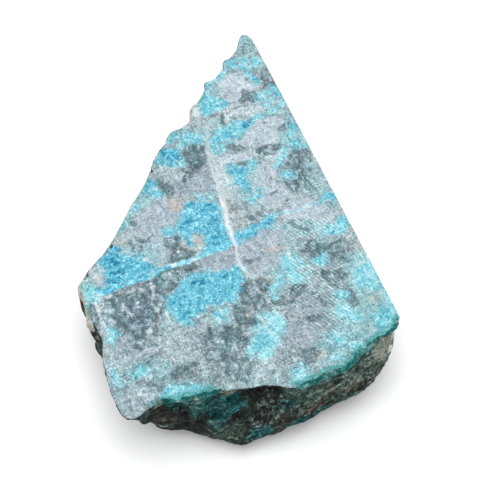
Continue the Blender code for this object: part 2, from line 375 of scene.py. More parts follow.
def broken_rim(mesh):
    """Evenly spaced places along the edge between the sawn face and the broken walls, in mm."""
    shape = bmesh.new()
    shape.from_mesh(mesh)
    shape.normal_update()
    found = []
    for edge in shape.edges:
        lies_flat = [Vector(face_normal).dot(f.normal) > LIKE_THE_CUT for f in edge.link_faces]
        ends = [np.array(v.co) / MM for v in edge.verts]
        both_on_cut = max(abs(below_face(np.array(ends)))) < ON_THE_CUT
        on_saw_edge = max(abs(inside_side_cut(np.array(ends)))) < AT_SAW_EDGE
        if lies_flat.count(True) == 1 and both_on_cut and not on_saw_edge:
            steps = max(1, round(np.linalg.norm(ends[1] - ends[0]) / RIM_STEP))
            found += [ends[0] + (ends[1] - ends[0]) * step / steps for step in range(steps)]
    shape.free()
    return found


rim = [tuple(place) for place in pushed(np.array(broken_rim(solid)))]
rim_tree = kdtree.KDTree(len(rim))
for number, place in enumerate(rim):
    rim_tree.insert(place, number)
rim_tree.balance()


def distance_to_rim(places):
    """Each place's distance to the broken rim, in mm."""
    distances = np.full(len(places), FAR_AWAY)
    near_top = np.flatnonzero(below_face(places) < RIM_SEARCH)
    distances[near_top] = [rim_tree.find(place)[2] for place in places[near_top].tolist()]
    return distances


print("rim:", len(rim), "places, one every", RIM_STEP, "mm")

# %% [markdown]
# Two things shape the rim. Where the outside of the stone carries a thick crust, the crust is tougher
# than the rock and wears to a rounded lip. Everywhere else small flakes broke out and left nicks. Both
# only lower the points close to the rim, the lip evenly and the nicks where a noise says so.

# %% Round the lip and nick the rim
LIP_REACH = 1.6
LIP_DROP = 0.85
LIP_CURVE = 1.6
LIP_WAVES = (2.0, 0.5)
NICK_REACH = 1.5
NICK_DEPTH = 0.75
NICK_SIZES = (3.2, 1.1)
FINE_NICKS = 0.5
NICK_OPENS = 0.05
NICK_GRAIN = (0.8, 0.6)
# How well the tough crust keeps nicks away.
LIP_GUARD = 0.8
# The share of a round region's reach at which it starts to fade, and at which it ends.
REGION_FADE = (0.3, 1.3)
# Where the crust is thick enough to round the rim: x, y, z and reach in mm, and the strength.
LIP = [
    (-15.6, -49.6, 24.4, 3.6, 0.8), (-9.0, -49.8, 24.5, 4.6, 1.0), (-4.4, -49.0, 24.5, 2.6, 0.5),
    (16.4, -47.0, 24.8, 3.4, 0.9), (21.6, -45.0, 24.9, 4.6, 1.0), (27.5, -41.8, 24.9, 4.6, 1.0),
    (32.4, -37.4, 24.8, 4.6, 1.0), (36.4, -32.6, 24.6, 3.4, 0.9),
]


def regions(places, rounds):
    """The strongest of the round regions at each place, fading from its middle to its reach."""
    strongest = np.zeros(len(places))
    for x, y, z, reach, strength in rounds:
        distance = np.linalg.norm(places - (x, y, z), axis=1)
        faded = eased(distance, REGION_FADE[0] * reach, REGION_FADE[1] * reach)
        strongest = np.maximum(strongest, strength * (1.0 - faded))
    return strongest


rim_distance = distance_to_rim(places)
rounded = regions(places, LIP) * np.clip(1.0 - rim_distance / LIP_REACH, 0.0, 1.0) ** LIP_CURVE
places[:, 2] -= LIP_DROP * rounded * (1.0 + LIP_WAVES[1] * soft_noise(places, LIP_WAVES[0], seed=11))

rim_band = np.flatnonzero(rim_distance < NICK_REACH)
spots = places[rim_band]
flakes = soft_noise(spots, NICK_SIZES[0], seed=8) + FINE_NICKS * soft_noise(spots, NICK_SIZES[1], seed=9)
nick = np.clip(flakes - NICK_OPENS, 0.0, 1.0) * (1.0 - LIP_GUARD * regions(spots, LIP))
nick *= 1.0 - rim_distance[rim_band] / NICK_REACH
grain = 1.0 + NICK_GRAIN[1] * soft_noise(spots, NICK_GRAIN[0], seed=10)
places[rim_band, 2] -= NICK_DEPTH * nick * grain
set_places(skin, places)
print(len(rim_band), "points near the rim, deepest nick", round(float((NICK_DEPTH * nick).max()), 2), "mm")

# %% [markdown]
# The foot is flat and out of sight, so its thousands of small squares only cost memory. Dissolving them
# joins the squares that lie in the foot's plane, and leaves the rest of the skin alone.

# %% Join the squares of the flat foot
FOOT_MARGIN = 0.03


def join_flat_foot(mesh):
    """Replaces all squares that lie in the foot's plane by one face."""
    shape = bmesh.new()
    shape.from_mesh(mesh)
    flat = [f for f in shape.faces if all(v.co.z < FOOT_MARGIN * MM for v in f.verts)]
    bmesh.ops.dissolve_faces(shape, faces=flat, use_verts=True)
    shape.to_mesh(mesh)
    shape.free()
    return len(flat)


on_foot = (places[:, 2] < SNAP_BAND) & (mesh_normals(skin)[:, 2] < -UPRIGHT)
places[on_foot, 2] = 0.0
set_places(skin, places)
joined = join_flat_foot(skin)
places = mesh_places(skin)
triangles = sum(len(face.vertices) - 2 for face in skin.polygons)
print("foot:", joined, "squares joined,", triangles, "triangles left in the skin")

# %% [markdown]
# # Where each mineral shows
#
# The pattern on the cut face is the history of the rock: old grey-lavender rock was shattered, dark
# green-grey pieces fell into the gaps, chrysocolla grew round them, and white quartz and pale blue
# threads filled the last cracks. Procedural noise alone could paint something like it, but every patch
# would be equally likely everywhere, and this stone has its own face. So each patch is drawn,
# in millimetres, as an oval, an area with corners or a line of some width.
#
# Every shape gives a field: how many mm a place lies inside it, negative outside. A field is better than
# a yes or no, because the material can then move the border by a little noise and make it ragged.

# %% Ovals and areas to draw with
def oval(x, y, half_long, half_wide, turn=0.0, strength=0.7):
    """An oval, turned counter-clockwise by this many degrees."""
    along = np.array([math.cos(math.radians(turn)), math.sin(math.radians(turn))])
    across = np.array([-along[1], along[0]])

    def field(spots):
        reach = np.hypot((spots - (x, y)) @ along / half_long, (spots - (x, y)) @ across / half_wide)
        return (1.0 - reach) * min(half_long, half_wide)

    return field, strength


def edge_distance(spots, start, end):
    """Each spot's distance to a straight edge, and how far along the edge the nearest place is."""
    run = np.subtract(end, start)
    share = np.clip((spots - start) @ run / (run @ run), 0.0, 1.0)
    return np.linalg.norm(spots - start - share[:, None] * run, axis=1), share


def area(corners, strength=0.7):
    """An area with straight sides."""

    def field(spots):
        nearest = np.full(len(spots), np.inf)
        inside = np.zeros(len(spots), bool)
        for (x1, y1), (x2, y2) in zip(corners, corners[1:] + corners[:1]):
            nearest = np.minimum(nearest, edge_distance(spots, (x1, y1), (x2, y2))[0])
            if y1 != y2:
                crossing = x1 + (spots[:, 1] - y1) * (x2 - x1) / (y2 - y1)
                inside ^= ((y1 > spots[:, 1]) != (y2 > spots[:, 1])) & (spots[:, 0] < crossing)
        return np.where(inside, nearest, -nearest)

    return field, strength


print("an oval of 2 by 1 mm is", oval(0.0, 0.0, 2.0, 1.0)[0](np.zeros((1, 2)))[0], "mm deep in its middle")

# %% [markdown]
# Veins and threads are lines. A vein pinches and swells, so a line has its own width at each end. Where
# shapes lie over each other, the deepest one says how far inside a place is, and the last one drawn says
# how strong the colour is. In that way a small dark oval can sit in a large pale area.

# %% Lines, and all shapes together
# A place that no shape reaches counts as this far outside, in mm.
FIELD_LOW = -3.0
# How softly a later shape's strength takes over from an earlier one's, in mm.
PAINT_EDGE = 0.3


def line(corners, half_start, half_end, strength=0.7):
    """A bent line whose half width changes evenly from its start to its end."""

    def field(spots):
        best = np.full(len(spots), -np.inf)
        pieces = len(corners) - 1
        for number in range(pieces):
            distance, share = edge_distance(spots, corners[number], corners[number + 1])
            width = half_start + (half_end - half_start) * (number + share) / pieces
            best = np.maximum(best, width - distance)
        return best

    return field, strength


def drawn(shapes, spots):
    """The fields of all shapes together, and their strengths. A later shape is painted over earlier ones."""
    deepest = np.full(len(spots), FIELD_LOW)
    strengths = np.zeros(len(spots))
    for field, strength in shapes:
        here = field(spots)
        over = eased(here - np.minimum(deepest, 0.0), -PAINT_EDGE, PAINT_EDGE)
        strengths += over * (strength - strengths)
        deepest = np.maximum(deepest, here)
    return deepest, strengths


test_line = line([(0.0, 0.0), (4.0, 0.0)], 1.0, 0.5)
print("half way a line from 1 to 0.5 mm reaches", test_line[0](np.array([(2.0, 0.0)]))[0], "mm to each side")

# %% [markdown]
# **Blue chrysocolla.** The strength says how deep the blue is: thick, pure fillings are deep cyan blue, and
# thin skins over the grey rock are pale. Near the pointed end the blue is broken into many small
# fillings, because the rock was shattered more finely there.

# %% Blue patches of the narrow end and the upper middle
BLUE = [
    # the narrow end
    oval(-2.3, 48.1, 1.4, 1.2, 0, 0.6),
    oval(0.3, 48.3, 1.8, 1.2, 10, 0.5),
    oval(3.9, 48.6, 2.0, 1.1, 10, 0.3),
    line([(0.6, 46.3), (2.0, 44.8), (3.3, 43.3), (4.2, 42.2)], 0.7, 0.9, 0.6),
    oval(3.6, 43.1, 1.2, 0.7, -45, 0.85),
    area([(7.8, 41.0), (9.0, 40.6), (10.6, 37.5), (9.8, 36.4), (8.3, 38.6)], 0.7),
    line([(-8.9, 40.8), (-7.4, 42.0), (-5.6, 43.3), (-4.3, 45.4)], 0.9, 0.6, 0.45),
    oval(5.8, 37.0, 1.9, 1.2, 20, 0.45),
    area([(-10.2, 37.2), (-9.0, 38.6), (-7.6, 37.6), (-5.0, 36.8), (-3.3, 34.6), (-4.6, 32.6),
          (-7.0, 31.8), (-9.4, 31.4), (-10.4, 33.6)], 0.55),
    oval(-4.8, 34.6, 1.2, 0.9, -30, 0.75),
    line([(4.0, 30.6), (7.0, 32.0), (9.5, 33.6), (11.3, 34.8)], 0.7, 0.5, 0.4),
    line([(5.4, 34.4), (8.4, 35.8)], 0.4, 0.3, 0.4),
    # the upper middle
    area([(3.4, 29.6), (1.4, 29.4), (-1.6, 28.6), (-4.2, 27.4), (-6.8, 25.4), (-6.4, 22.6),
          (-3.8, 23.2), (-1.0, 23.6), (0.6, 25.2), (2.6, 27.2)], 0.5),
    oval(1.6, 28.0, 2.0, 1.0, 40, 0.95),
    oval(-2.6, 24.6, 1.4, 1.1, 0, 0.7),
    oval(-5.9, 23.6, 1.0, 1.4, 0, 0.65),
    line([(-6.2, 22.0), (-5.9, 18.8)], 0.7, 0.5, 0.5),
    line([(-4.6, 21.6), (-4.2, 19.6)], 0.5, 0.4, 0.45),
    area([(-15.2, 25.6), (-12.0, 25.4), (-9.4, 24.6), (-9.2, 23.0), (-12.0, 22.4), (-15.0, 22.0)], 0.5),
    oval(-17.6, 23.9, 1.9, 1.2, 50, 0.5),
    area([(-20.6, 20.4), (-18.4, 21.0), (-15.6, 20.6), (-14.3, 19.0), (-15.4, 17.4), (-18.0, 17.0),
          (-20.4, 18.4)], 0.95),
    line([(-20.6, 17.8), (-17.0, 15.8), (-14.5, 16.4)], 0.9, 0.7, 0.55),
    oval(13.6, 27.4, 1.2, 1.9, 20, 0.75),
    oval(14.3, 21.8, 1.9, 1.0, 20, 0.65),
    oval(13.2, 25.3, 1.6, 1.1, 0, 0.4),
]
print(len(BLUE), "small blue patches")

# %% [markdown]
# In the middle and on the left lie two of the three large fillings. They are drawn as areas, and small
# ovals inside them mark where the filling is thickest, and so darkest.

# %% Blue patches of the middle and the left side
BLUE += [
    # the middle
    area([(-3.2, 14.2), (-1.6, 15.4), (0.4, 15.2), (2.2, 14.2), (1.6, 12.0), (2.2, 9.4), (1.6, 8.0),
          (0.2, 8.4), (-1.2, 10.0), (-2.6, 12.0)], 0.65),
    area([(1.6, 16.8), (4.2, 17.2), (4.4, 15.0), (2.2, 13.0)], 0.3),
    oval(1.4, 9.2, 0.9, 1.4, 15, 0.9),
    oval(2.0, 7.2, 0.9, 0.6, 0, 0.55),
    oval(3.7, 6.0, 1.1, 0.7, 20, 0.5),
    oval(2.3, 4.6, 0.9, 0.5, 0, 0.45),
    oval(4.1, 8.3, 0.6, 0.4, 0, 0.5),
    line([(9.2, 15.4), (10.2, 17.6), (11.6, 20.4)], 0.6, 0.5, 0.45),
    oval(11.4, 12.2, 1.4, 1.2, 0, 0.5),
    area([(20.0, 4.2), (20.2, 6.0), (22.6, 6.8), (24.0, 5.4), (22.0, 4.4)], 0.75),
    area([(-24.0, 11.2), (-21.8, 11.4), (-20.4, 9.4), (-19.0, 7.4), (-19.0, 5.6), (-21.6, 5.4),
          (-23.0, 6.6), (-23.8, 9.0)], 0.65),
    oval(-26.2, 3.2, 0.9, 1.1, 0, 0.4),
    oval(-28.0, -2.0, 0.8, 1.1, 0, 0.5),
    area([(-13.5, 3.0), (-11.5, 4.5), (-9.0, 4.5), (-6.4, 4.8), (-4.9, 2.0), (-4.2, 0.0), (-3.2, -2.5),
          (-2.5, -5.0), (-2.2, -7.0), (-3.5, -8.0), (-6.0, -9.5), (-8.0, -9.8), (-8.6, -8.0),
          (-8.4, -5.5), (-9.0, -4.0), (-11.0, -4.0), (-11.5, -6.0), (-11.8, -8.0), (-13.0, -7.5),
          (-14.0, -5.5), (-16.0, -3.4), (-15.0, 0.0), (-14.5, 1.5)], 0.72),
    oval(-16.6, -4.2, 1.6, 1.3, 0, 0.5),
    oval(-9.8, 6.2, 0.9, 0.7, 0, 0.5),
    oval(-7.6, 6.3, 1.2, 0.9, 0, 0.55),
    oval(-6.0, -1.4, 1.8, 1.2, 0, 0.85),
    oval(-5.6, -6.0, 1.6, 1.8, 0, 0.8),
    oval(-5.5, -5.1, 0.8, 0.6, 20, 1.3),
    oval(-9.2, 1.8, 0.8, 0.6, 0, 1.05),
    oval(-12.0, -1.0, 0.8, 0.6, 30, 1.0),
    oval(-7.4, 3.4, 0.7, 0.5, 0, 1.0),
    oval(-8.4, -2.2, 0.6, 0.5, 0, 0.4),
    line([(-0.9, -6.6), (2.0, -4.3), (4.5, -2.7), (7.2, -0.9)], 1.3, 1.0, 0.85),
    area([(19.8, -4.6), (20.6, -2.6), (22.6, -2.0), (24.2, -0.4), (25.6, 0.4), (26.4, -2.0),
          (25.4, -4.4), (22.6, -5.6)], 0.5),
    # the left side
    area([(-32.0, -9.0), (-30.0, -7.0), (-29.0, -7.0), (-28.5, -10.0), (-26.0, -11.0), (-23.0, -11.0),
          (-20.0, -13.5), (-20.5, -15.5), (-24.0, -17.0), (-27.0, -18.0), (-29.0, -19.5),
          (-32.0, -20.5), (-31.5, -17.0), (-33.0, -14.0), (-34.0, -12.0)], 0.75),
    oval(-30.4, -11.5, 2.6, 1.6, 70, 1.0),
    oval(-29.4, -15.5, 2.8, 1.6, 80, 1.0),
    oval(-31.0, -19.4, 1.8, 1.1, 20, 0.95),
    oval(-25.5, -13.4, 2.2, 1.2, 30, 0.85),
    oval(-22.6, -15.2, 1.6, 0.9, -10, 0.8),
    area([(-38.0, -18.6), (-35.4, -19.2), (-33.2, -19.8), (-32.6, -21.4), (-34.6, -22.8),
          (-36.2, -24.4), (-37.4, -22.0)], 0.5),
    area([(-31.2, -29.8), (-28.8, -30.2), (-28.4, -32.6), (-29.2, -35.0), (-30.8, -33.2)], 0.4),
    oval(-28.0, -43.0, 0.9, 1.8, 30, 0.3),
]
print(len(BLUE), "blue patches so far")

# %% [markdown]
# The largest filling lies towards the near edge. It has about ten dark cores. The skins to its right are
# thin, so the grey rock shows through them.

# %% Blue patches of the wide end
BLUE += [
    # the big lower patch
    area([(-13.5, -16.5), (-9.0, -15.5), (-4.0, -15.0), (-1.0, -14.0), (1.0, -14.0), (1.3, -18.0),
          (-0.5, -21.0), (-1.0, -24.0), (-4.0, -24.0), (-7.0, -24.5), (-9.5, -26.5), (-10.5, -29.0),
          (-13.0, -30.0), (-14.5, -28.5), (-15.5, -26.0), (-18.5, -25.0), (-16.5, -22.0),
          (-14.0, -20.0)], 0.66),
    oval(-11.0, -18.0, 1.0, 0.8, 10, 1.3),
    oval(-8.9, -18.3, 0.9, 0.7, 0, 1.25),
    oval(-3.5, -16.6, 0.8, 0.6, 0, 1.2),
    oval(-6.0, -19.3, 0.5, 0.4, 0, 1.2),
    oval(-12.6, -21.6, 0.7, 0.5, 30, 1.0),
    oval(-9.6, -23.2, 0.8, 0.5, -20, 1.05),
    oval(-4.6, -21.4, 0.7, 0.5, 20, 1.0),
    oval(-1.8, -19.0, 0.7, 0.5, 60, 1.0),
    oval(-12.2, -26.4, 0.6, 0.9, 0, 1.0),
    oval(-15.4, -23.6, 0.6, 0.5, 0, 1.0),
    oval(-4.6, -27.0, 1.7, 1.3, 20, 0.38),
    # the right side
    area([(9.6, -10.6), (11.6, -11.4), (13.6, -11.0), (14.6, -13.6), (13.2, -15.6), (10.4, -15.6),
          (9.6, -13.4)], 0.44),
    area([(11.0, -16.2), (13.4, -15.8), (15.8, -16.4), (15.6, -18.0), (12.6, -18.2)], 0.3),
    oval(19.4, -12.6, 1.7, 1.4, 0, 0.45),
    line([(9.6, -16.8), (8.4, -19.6), (7.6, -22.4)], 0.7, 0.5, 0.4),
    area([(26.4, -16.6), (27.6, -14.4), (29.8, -12.4), (31.6, -14.6), (33.6, -19.0), (34.4, -21.0),
          (30.0, -20.4), (27.4, -20.0)], 0.42),
    area([(22.2, -25.2), (24.8, -24.6), (27.4, -26.0), (28.2, -28.6), (25.4, -28.8), (23.0, -27.4)], 0.22),
    area([(30.4, -27.2), (33.2, -26.4), (35.4, -25.2), (37.4, -29.6), (35.8, -32.4), (32.4, -30.8),
          (30.2, -29.0)], 0.55),
    line([(30.8, -13.6), (33.4, -19.4), (35.4, -24.4), (37.0, -28.6)], 0.9, 1.1, 0.4),
    line([(28.4, -36.4), (31.6, -34.6), (34.8, -32.6)], 0.6, 0.9, 0.45),
    oval(23.6, -21.6, 1.5, 1.2, 0, 0.5),
    oval(22.6, -33.0, 2.2, 1.5, 10, 0.2),
    oval(27.6, -35.6, 2.2, 1.2, -35, 0.3),
    oval(22.0, -38.4, 1.4, 1.0, 20, 0.12),
    # the near edge
    area([(4.0, -29.4), (6.6, -28.6), (8.6, -31.0), (9.0, -34.6), (7.4, -37.0), (4.6, -38.2),
          (2.6, -37.6), (1.8, -35.6), (3.6, -33.0)], 0.22),
    oval(4.6, -34.4, 1.7, 2.4, -15, 0.5),
    area([(5.0, -27.6), (8.6, -26.4), (10.4, -28.6), (10.6, -31.4), (8.0, -31.6)], 0.02),
    oval(13.2, -42.4, 1.2, 2.1, -10, 0.32),
    oval(-22.4, -41.6, 2.4, 1.2, 20, 0.42),
    area([(-17.6, -48.6), (-17.2, -45.6), (-14.6, -45.0), (-12.6, -44.4), (-9.4, -44.8), (-7.0, -46.0),
          (-9.0, -48.2), (-13.0, -48.8)], 0.45),
    oval(-16.4, -47.0, 0.9, 1.4, 0, 0.55),
    oval(-11.0, -46.3, 1.6, 1.6, 0, 0.55),
]
print(len(BLUE), "blue patches in all")

# %% [markdown]
# A blue thread crosses the stone from the left corner to the right side. It filled a younger crack,
# so it cuts through the patches. A thread is a line with a width, brighter than the blue beside it.

# %% The blue thread
BLUE_THREAD = [
    line([(-32.5, -20.5), (-30.0, -19.5), (-27.0, -18.7), (-25.0, -18.0), (-22.5, -17.0),
          (-20.0, -15.5), (-18.0, -14.3), (-15.0, -13.0), (-12.0, -12.2), (-10.0, -11.3)], 0.48, 0.5, 0.88),
    line([(-10.0, -11.3), (-8.0, -10.0), (-5.0, -8.8), (-2.5, -7.3), (-0.9, -6.0)], 0.7, 0.7, 0.66),
    line([(-0.9, -5.8), (2.0, -3.5), (4.5, -1.9), (7.2, -0.1)], 0.42, 0.36, 0.6),
    line([(7.2, -0.2), (10.0, 1.5), (15.0, 2.5), (20.0, 4.2)], 0.6, 0.4, 0.35),
]
print(len(BLUE_THREAD), "stretches of the blue thread")

# %% [markdown]
# **Dark rock.** Green-grey pieces of the older rock. They have sharp corners where the rock snapped, so
# most are drawn as areas. The strength is how dark a piece is.

# %% Dark pieces of the narrow end and the middle
DARK = [
    # the narrow end
    oval(1.8, 52.8, 1.4, 2.0, -20, 0.25),
    area([(-0.4, 35.6), (1.0, 39.6), (1.8, 38.4), (3.6, 38.6), (4.8, 37.2), (3.8, 35.4), (2.6, 35.8),
          (1.6, 36.8), (0.9, 35.2)], 0.6),
    oval(6.7, 41.6, 0.8, 1.5, 10, 0.75),
    oval(7.3, 43.8, 1.1, 2.4, 25, 0.4),
    area([(9.6, 25.8), (10.4, 27.4), (11.6, 28.2), (12.4, 29.2), (12.8, 27.4), (11.2, 26.0)], 0.65),
    line([(-4.4, 30.8), (-4.0, 28.4)], 0.35, 0.25, 0.6),
    line([(-7.6, 30.6), (-5.0, 31.0)], 0.25, 0.25, 0.55),
    line([(-1.6, 30.6), (-0.9, 30.2)], 0.25, 0.2, 0.6),
    line([(5.4, 29.0), (6.6, 28.9)], 0.18, 0.12, 0.6),
    # the middle
    area([(-12.4, 22.4), (-9.0, 22.8), (-8.6, 19.6), (-8.8, 16.8), (-10.2, 14.6), (-12.4, 15.6),
          (-13.2, 17.8), (-12.0, 18.6), (-14.0, 19.0), (-13.4, 20.0)], 0.95),
    line([(-10.6, 15.0), (-12.0, 13.6), (-13.8, 11.2)], 0.65, 0.35, 0.85),
    line([(-12.0, 14.2), (-14.6, 15.0)], 0.3, 0.2, 0.6),
    line([(-2.8, 21.2), (-0.6, 20.8), (1.6, 20.6)], 0.65, 0.4, 0.6),
    area([(4.2, 19.2), (5.6, 20.6), (7.0, 21.6), (6.4, 20.0), (5.2, 19.0)], 0.9),
    line([(6.4, 18.5), (7.9, 18.9)], 0.35, 0.3, 0.7),
    line([(8.4, 20.4), (9.9, 21.4)], 0.45, 0.3, 0.7),
    line([(-0.2, 15.2), (1.9, 16.6)], 0.55, 0.35, 0.95),
    oval(5.1, 17.3, 0.6, 0.25, -20, 0.8),
    area([(12.4, 15.6), (12.8, 18.0), (13.8, 20.0), (15.2, 19.4), (15.4, 17.0), (15.0, 14.6),
          (13.6, 15.0)], 0.7),
    area([(13.2, 14.6), (15.0, 14.8), (15.8, 12.0), (16.2, 10.4), (14.6, 10.8), (13.4, 12.0)], 0.6),
    area([(10.4, 10.4), (12.0, 10.0), (14.4, 10.4), (14.0, 8.4), (13.2, 7.4), (12.0, 9.2)], 0.75),
    oval(16.8, 18.2, 1.0, 2.0, 10, 0.55),
    oval(17.0, 8.6, 0.8, 1.8, 30, 0.4),
    oval(18.4, 12.6, 0.9, 1.6, 20, 0.35),
    area([(-20.6, 10.6), (-19.6, 11.2), (-19.0, 9.4), (-17.4, 8.6), (-16.4, 7.0), (-17.2, 5.6),
          (-18.6, 6.6), (-19.4, 8.0)], 0.9),
    area([(-18.0, -5.6), (-16.6, -5.0), (-14.6, -5.4), (-15.0, -7.6), (-14.4, -8.8), (-16.6, -9.0),
          (-17.6, -7.4)], 0.9),
    area([(-16.6, -9.4), (-14.0, -9.0), (-12.0, -9.8), (-10.6, -10.6), (-12.4, -11.8), (-15.0, -12.4),
          (-16.4, -13.0)], 0.9),
    oval(-9.8, -4.2, 0.6, 0.8, 0, 0.6),
    oval(-24.3, -8.7, 1.0, 1.0, 0, 0.7),
    line([(-26.0, -7.2), (-25.4, -9.4)], 0.4, 0.3, 0.5),
    oval(-23.9, -6.4, 0.8, 0.4, -15, 1.0),
    oval(3.0, 0.2, 0.9, 0.5, 0, 0.65),
    oval(4.8, 1.2, 0.5, 0.4, 0, 0.6),
    oval(8.2, 7.4, 0.6, 0.35, 30, 0.65),
    oval(-1.4, 2.9, 1.0, 0.7, 30, 0.45),
    oval(-25.9, -1.6, 0.7, 0.5, 0, 0.6),
    oval(12.7, -1.5, 0.5, 0.4, 0, 0.6),
    oval(13.6, -2.8, 0.6, 0.4, 0, 0.6),
    oval(15.8, -3.1, 0.6, 0.35, 0, 0.7),
    oval(2.6, -12.4, 0.8, 0.25, 15, 0.8),
]
print(len(DARK), "dark pieces")

# %% [markdown]
# The wide end has the largest dark piece, on the left under the blue thread, and a scatter of smaller
# ones on the right, where the saw marks cross them.

# %% Dark pieces of the wide end
DARK += [
    # under the blue thread
    oval(-12.2, -14.1, 1.1, 0.6, 15, 0.95),
    oval(-14.5, -14.5, 0.6, 0.35, 0, 0.7),
    oval(-16.2, -15.1, 0.8, 0.6, 0, 0.6),
    area([(-19.6, -15.6), (-16.6, -15.0), (-14.6, -16.4), (-14.0, -18.6), (-16.0, -20.8),
          (-18.4, -19.4)], 0.55),
    area([(-22.6, -18.6), (-20.4, -17.2), (-19.4, -20.0), (-17.2, -22.4), (-18.2, -25.0),
          (-19.6, -27.6), (-18.2, -32.0), (-21.0, -31.6), (-23.4, -33.0), (-26.4, -30.0),
          (-29.2, -27.6), (-28.6, -24.6), (-30.4, -22.4), (-27.0, -21.6), (-25.0, -20.4)], 0.92),
    area([(-23.6, -32.0), (-21.6, -33.2), (-22.4, -35.6), (-24.0, -34.0)], 0.6),
    area([(-35.4, -23.8), (-34.0, -24.4), (-32.8, -28.0), (-33.0, -30.0), (-34.2, -29.0),
          (-35.2, -26.6)], 0.6),
    # the right side
    area([(14.4, -9.8), (16.2, -8.4), (16.6, -6.8), (18.2, -6.6), (19.2, -8.4), (19.0, -11.0),
          (17.8, -12.2), (17.0, -10.0)], 0.9),
    area([(20.0, -8.2), (22.0, -7.4), (24.2, -7.0), (23.4, -9.0), (25.0, -9.4), (22.4, -11.0),
          (20.0, -10.4)], 0.7),
    area([(19.6, -14.8), (21.4, -15.6), (23.6, -15.4), (26.0, -16.4), (24.8, -18.2), (23.6, -19.8),
          (21.4, -18.6), (19.2, -16.8)], 0.8),
    area([(23.6, -20.0), (25.6, -20.4), (26.8, -21.6), (27.4, -24.0), (26.2, -24.6), (24.6, -22.4)], 0.7),
    oval(17.2, -27.8, 1.4, 0.6, 15, 0.6),
    oval(18.0, -22.6, 1.4, 0.5, -40, 0.45),
    # the near edge
    area([(0.0, -19.6), (2.0, -18.4), (4.6, -17.6), (5.6, -18.4), (7.4, -18.0), (7.2, -20.0),
          (5.4, -20.6), (5.8, -23.0), (6.4, -24.6), (4.6, -25.8), (2.4, -23.6), (0.2, -24.0)], 0.8),
    area([(-1.6, -25.6), (0.4, -25.8), (2.0, -27.6), (4.6, -29.0), (1.4, -29.6), (-0.4, -28.8)], 0.85),
    oval(8.7, -23.4, 1.0, 0.7, -30, 0.6),
    oval(11.0, -23.4, 1.1, 0.5, 20, 0.8),
    area([(12.0, -21.6), (13.0, -19.4), (15.4, -19.0), (14.8, -21.4), (13.0, -22.2)], 0.7),
    area([(-4.0, -29.6), (-0.4, -30.0), (0.4, -32.0), (-2.0, -31.6)], 0.75),
    area([(-6.8, -30.4), (-3.0, -31.4), (1.2, -33.0), (2.0, -35.6), (-1.6, -36.4), (-4.6, -35.8),
          (-6.4, -33.4)], 0.75),
    area([(-8.4, -36.0), (-5.4, -36.0), (-2.0, -36.8), (-0.6, -38.4), (-3.4, -39.0), (-6.6, -38.0)], 0.7),
    area([(-2.6, -38.6), (0.8, -38.4), (2.4, -40.6), (1.6, -43.4), (-1.6, -44.0), (-3.0, -41.4)], 0.6),
    line([(-14.8, -42.3), (-12.6, -40.8), (-10.5, -39.4)], 0.55, 0.3, 0.9),
    area([(14.2, -36.0), (16.0, -35.6), (17.8, -37.0), (17.0, -39.0), (15.0, -40.0)], 0.65),
]
print(len(DARK), "dark pieces in all")

# %% [markdown]
# **Pale rock.** Lavender-grey pieces, the least altered part of the old rock. They are smoother than the
# mottled greenish rock round them, and broken off just as sharply. The strength is how light a piece is.

